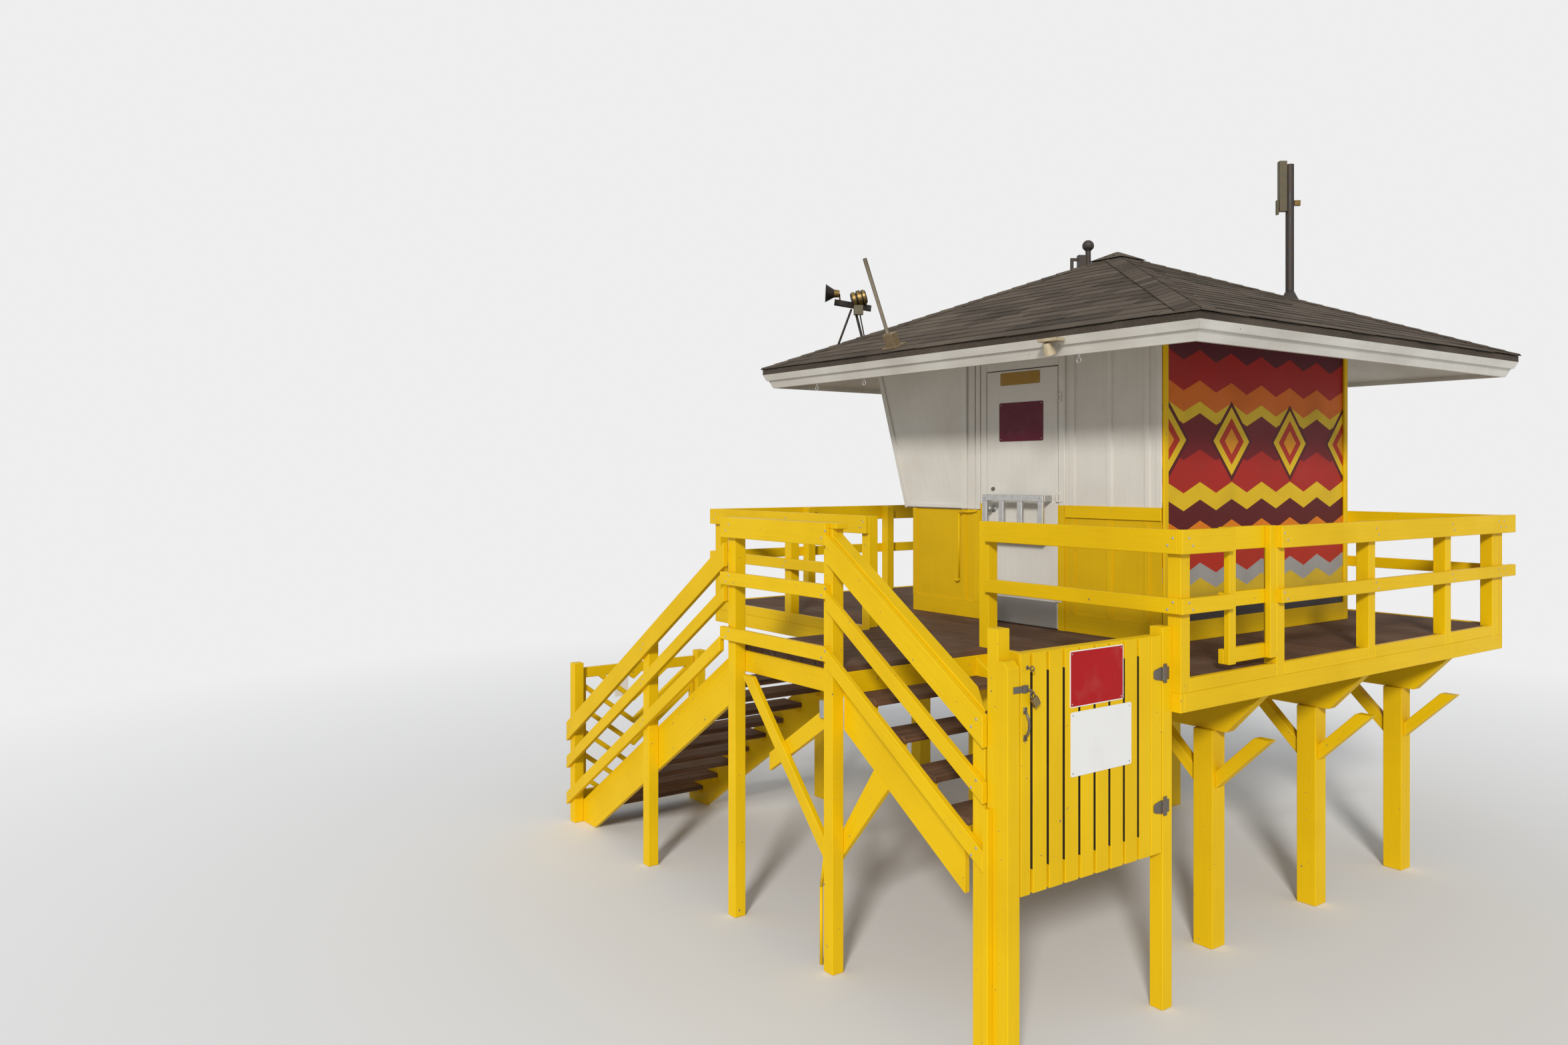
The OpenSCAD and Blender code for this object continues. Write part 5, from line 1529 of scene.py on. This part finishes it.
@dataclass
class Rigging:
    """Hooks, prop rod and conduit on the tower."""

    site: Site
    hooks: tuple[tuple[int, float], ...] = ((0, 0.72), (0, 1.36), (1, -0.95))
    box_z: Pair = (1.56, 1.668)
    pipe_bend: Pair = (0.76, 0.49)
    pipe_r: float = 0.011

    def build(self) -> None:
        """Makes the small fixed fittings."""
        self.prop_rod()
        self.eave_hooks()
        self.conduit()

    def prop_rod(self) -> None:
        """Makes the yellow rod that hangs beside the half wall, with its hook."""
        work = Carpenter("prop_rod", Finish.YELLOW_PAINT, 0.0)
        foot = Vector((self.site.wall_x1 + 0.034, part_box("door_casing")[0].y - 0.24, self.site.deck_z + 0.32))
        top = foot + UP*0.55
        work.rod(foot, top, 0.007)
        work.loop(foot - TO_LAND*0.022, TO_DOOR, 0.022, 0.007, start_angle(TO_DOOR, TO_LAND), -math.pi*0.9)
        work.rod(top, top + Vector((0, 0.20, 0.02)), 0.006)
        work.deliver(slot="yellow_paint", smooth=True)

    def eave_hooks(self) -> None:
        """Makes the eye hooks under the door side's eave."""
        work = Carpenter("eave_hooks", Finish.GALVANISED, 0.0)
        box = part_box("fascia")
        for end, step in self.hooks:
            at = Vector((box[1].x - 0.075, box[end].y + step, box[0].z + 0.004))
            work.rod(at, at - UP*0.03, 0.004)
            work.loop(at - UP*0.046, TO_DOOR, 0.017, 0.004)
        work.deliver(slot=STEEL, smooth=True)

    def conduit(self) -> None:
        """Makes the cover box and the rigid pipe beside the landing's land post."""
        post = max(Board.of_node("landing_posts"), key=lambda board: board.low.y).low
        work = Carpenter("conduit_box", Finish.GALVANISED)
        work.block((post.x + 0.012, post.y - 0.062, self.box_z[0]), (post.x + 0.075, post.y, self.box_z[1]))
        work.deliver(slot=STEEL)
        pipe = Carpenter("conduit_pipe", Finish.YELLOW_PAINT, 0.0)
        x, near, far = post.x + 0.044, post.y - 0.03, post.y - 0.08
        bends = ((near, self.box_z[0]), (near, self.pipe_bend[0]), (far, self.pipe_bend[1]), (far, 0.0))
        places = [(x, y, z) for y, z in bends]
        for start, end in zip(places, places[1:]):
            pipe.rod(start, end, self.pipe_r)
        pipe.deliver(slot="yellow_paint", smooth=True)


@dataclass
class NodeFinishes:
    """Materials of the CAD nodes that show as they are."""

    site: Site
    mural_foot: float = 0.14
    mural_height: float = 2.16

    def build(self) -> None:
        """Gives every CAD node its material."""
        mural = BandedMural("land_wall_mural", self.site.deck_z + self.mural_foot, self.mural_height,
                            self.site.middle().x).make()
        for part in frame["record"]["subparts"]:
            name, slot = part["node"], part["material_slot"]
            materials = frame["nodes"][name].data.materials
            materials.clear()
            finish = APART.get(name) or SLOTS.get(slot)
            materials.append(finish.material() if finish else mural)


@dataclass
class Studio:
    """Floor, light and camera."""

    camera_place: Vector
    heading: float = 144.5
    lens: float = 25.56
    raise_view: float = -0.0296
    backdrop: Colour = (0.86, 0.86, 0.86)
    paint: Colour = (0.82, 0.82, 0.82)
    fade: Pair = (4.0, 13.0)
    floor_half: float = 60.0
    floor_z: float = -0.002
    sky: tuple[Colour, float] = ((0.92, 0.96, 1.0), 0.50)
    sun: tuple[Colour, float] = ((1.0, 0.97, 0.92), 2.45)
    sun_width: float = 9.0
    sun_way: Colour = (-0.70, -0.62, -0.44)

    def build(self) -> None:
        """Sets the stage round the tower."""
        self.floor()
        self.world()
        self.key()
        self.camera()
        bpy.context.scene.view_settings.view_transform = "Standard"

    def floor(self) -> None:
        """Makes the plain pale floor."""
        bm = bmesh.new()
        bmesh.ops.create_grid(bm, x_segments=1, y_segments=1, size=self.floor_half)
        mesh = bpy.data.meshes.new("studio_floor")
        bm.to_mesh(mesh)
        bm.free()
        mesh.materials.append(self.floor_paint())
        floor = placed("studio_floor", mesh)
        floor.location.z = self.floor_z
        floor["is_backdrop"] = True

    def floor_paint(self) -> bpy.types.Material:
        """Lays the floor's paint, which takes on the backdrop's colour away from the tower.

        Returns:
            The material.
        """
        r = Recipe("floor_paint")
        r.close(self.paint, 0.95, specular=0.0)
        reach = r.add("VectorMath", {0: r.place(Coords.PLACE)}, operation="LENGTH").outputs["Value"]
        seen = r.add("LightPath").outputs["Is Camera Ray"]
        shown = r.add("Emission", {"Color": self.backdrop}).outputs["Emission"]
        pick = r.add("MixShader", {0: r.sum("MULTIPLY", r.span(reach, *self.fade), seen),
                                   1: r.shader.outputs["BSDF"], 2: shown})
        r.fill(r.output, {"Surface": pick.outputs["Shader"]})
        return r.material

    def world(self) -> None:
        """Lights from all round, and shows a pale backdrop."""
        world = bpy.data.worlds.new("studio_world")
        bpy.context.scene.world = world
        world.use_nodes = True
        w = Wiring(world.node_tree)
        rays = w.add("LightPath").outputs
        seen = w.sum("MAXIMUM", rays["Is Camera Ray"], rays["Is Transmission Ray"])
        seen = w.sum("MAXIMUM", seen, rays["Is Glossy Ray"])
        soft, shown = (w.add("Background", {"Color": colour, "Strength": strength}).outputs[0]
                       for colour, strength in (self.sky, (self.backdrop, 1.0)))
        pick = w.add("MixShader", {0: seen, 1: soft, 2: shown})
        w.add("OutputWorld", {"Surface": pick.outputs[0]})

    def key(self) -> None:
        """Adds the soft key light from behind the camera's left."""
        light = bpy.data.lights.new("key_light", "SUN")
        light.color, light.energy = self.sun
        light.angle = math.radians(self.sun_width)
        placed("key_light", light).rotation_euler = Vector(self.sun_way).to_track_quat("-Z", "Y").to_euler()

    def camera(self) -> None:
        """Sets the photo's camera."""
        data = bpy.data.cameras.new("photo_camera")
        data.sensor_width = 36
        data.lens = self.lens
        data.shift_y = self.raise_view
        camera = placed("photo_camera", data)
        camera.location = self.camera_place
        camera.rotation_euler = (math.radians(90), 0, math.radians(self.heading))
        bpy.context.scene.camera = camera


SLOTS = {
    "yellow_paint": Finish.YELLOW_PAINT, "yellow_wall": Finish.YELLOW_WALL, "deck_plank": Finish.DECK,
    "tread_plank": Finish.TREAD, "white_boards": Finish.WHITE_WALL, "white_trim": Finish.WHITE_TRIM,
    "shingles": Finish.SHINGLES, STEEL: Finish.GALVANISED, "rack_metal": Finish.ALUMINIUM,
    "mast_metal": Finish.MAST, "lamp_metal": Finish.LAMP_DARK, "grey_pole": Finish.POLE,
    "lamp_housing": Finish.LAMP_BEIGE,
}
APART = {
    "door_hinges": Finish.WHITE_TRIM, "land_gate_hardware": Finish.HINGE_STEEL,
    "ocean_gate_hardware": Finish.HINGE_STEEL,
}
YELLOW_NODES = (
    "deck_rim", "deck_joists", "deck_beams", "deck_legs", "knee_braces", "railing_posts", "land_rails",
    "rail_leaf", "ocean_rails", "far_rails", "door_side_rails", "landing_frame", "landing_posts",
    "landing_rails", "landing_braces", "ocean_stringers", "ocean_newels", "ocean_handrails",
    "land_stringers", "land_newels", "land_handrails", "wall_trim",
)
WHITE_NODES = ("door_casing", "front_shutters")


def timber_nodes() -> dict[str, tuple[Finish, str, str]]:
    """Lists the timber nodes.

    Returns:
        The finish, slot and body of each.
    """
    nodes = {name: (Finish.YELLOW_PAINT, "yellow_paint", "root") for name in YELLOW_NODES}
    nodes |= {name: (Finish.WHITE_WALL, "white_boards", "root") for name in WHITE_NODES}
    nodes["fascia"] = (Finish.WHITE_TRIM, "white_trim", "root")
    nodes["door"] = (Finish.WHITE_WALL, "white_boards", "door")
    nodes["ocean_gate"] = (Finish.YELLOW_PAINT, "yellow_paint", "ocean_gate")
    return nodes


def main() -> None:
    """Builds the tower's pieces in order."""
    logging.basicConfig(level=logging.INFO, format="%(message)s")
    site = Site.survey()
    NodeFinishes(site).build()
    TimberFrame(timber_nodes()).build()
    Planking().build()
    ShingleRoof().build()
    HutSkin(site).build()
    DoorFittings(site).build()
    LandGate().build()
    GateFittings().build()
    RailBolts().build()
    RoofGear().build()
    dress_apart("fixed_hinge_halves", STEEL,
                lambda part: Finish.WHITE_TRIM if part.low.x < site.wall_x1 + 0.1 else Finish.HINGE_STEEL)
    Rigging(site).build()
    Studio(site.middle() + Vector((7.90, 6.08, 3.07))).build()


if __name__ == "__main__":
    main()
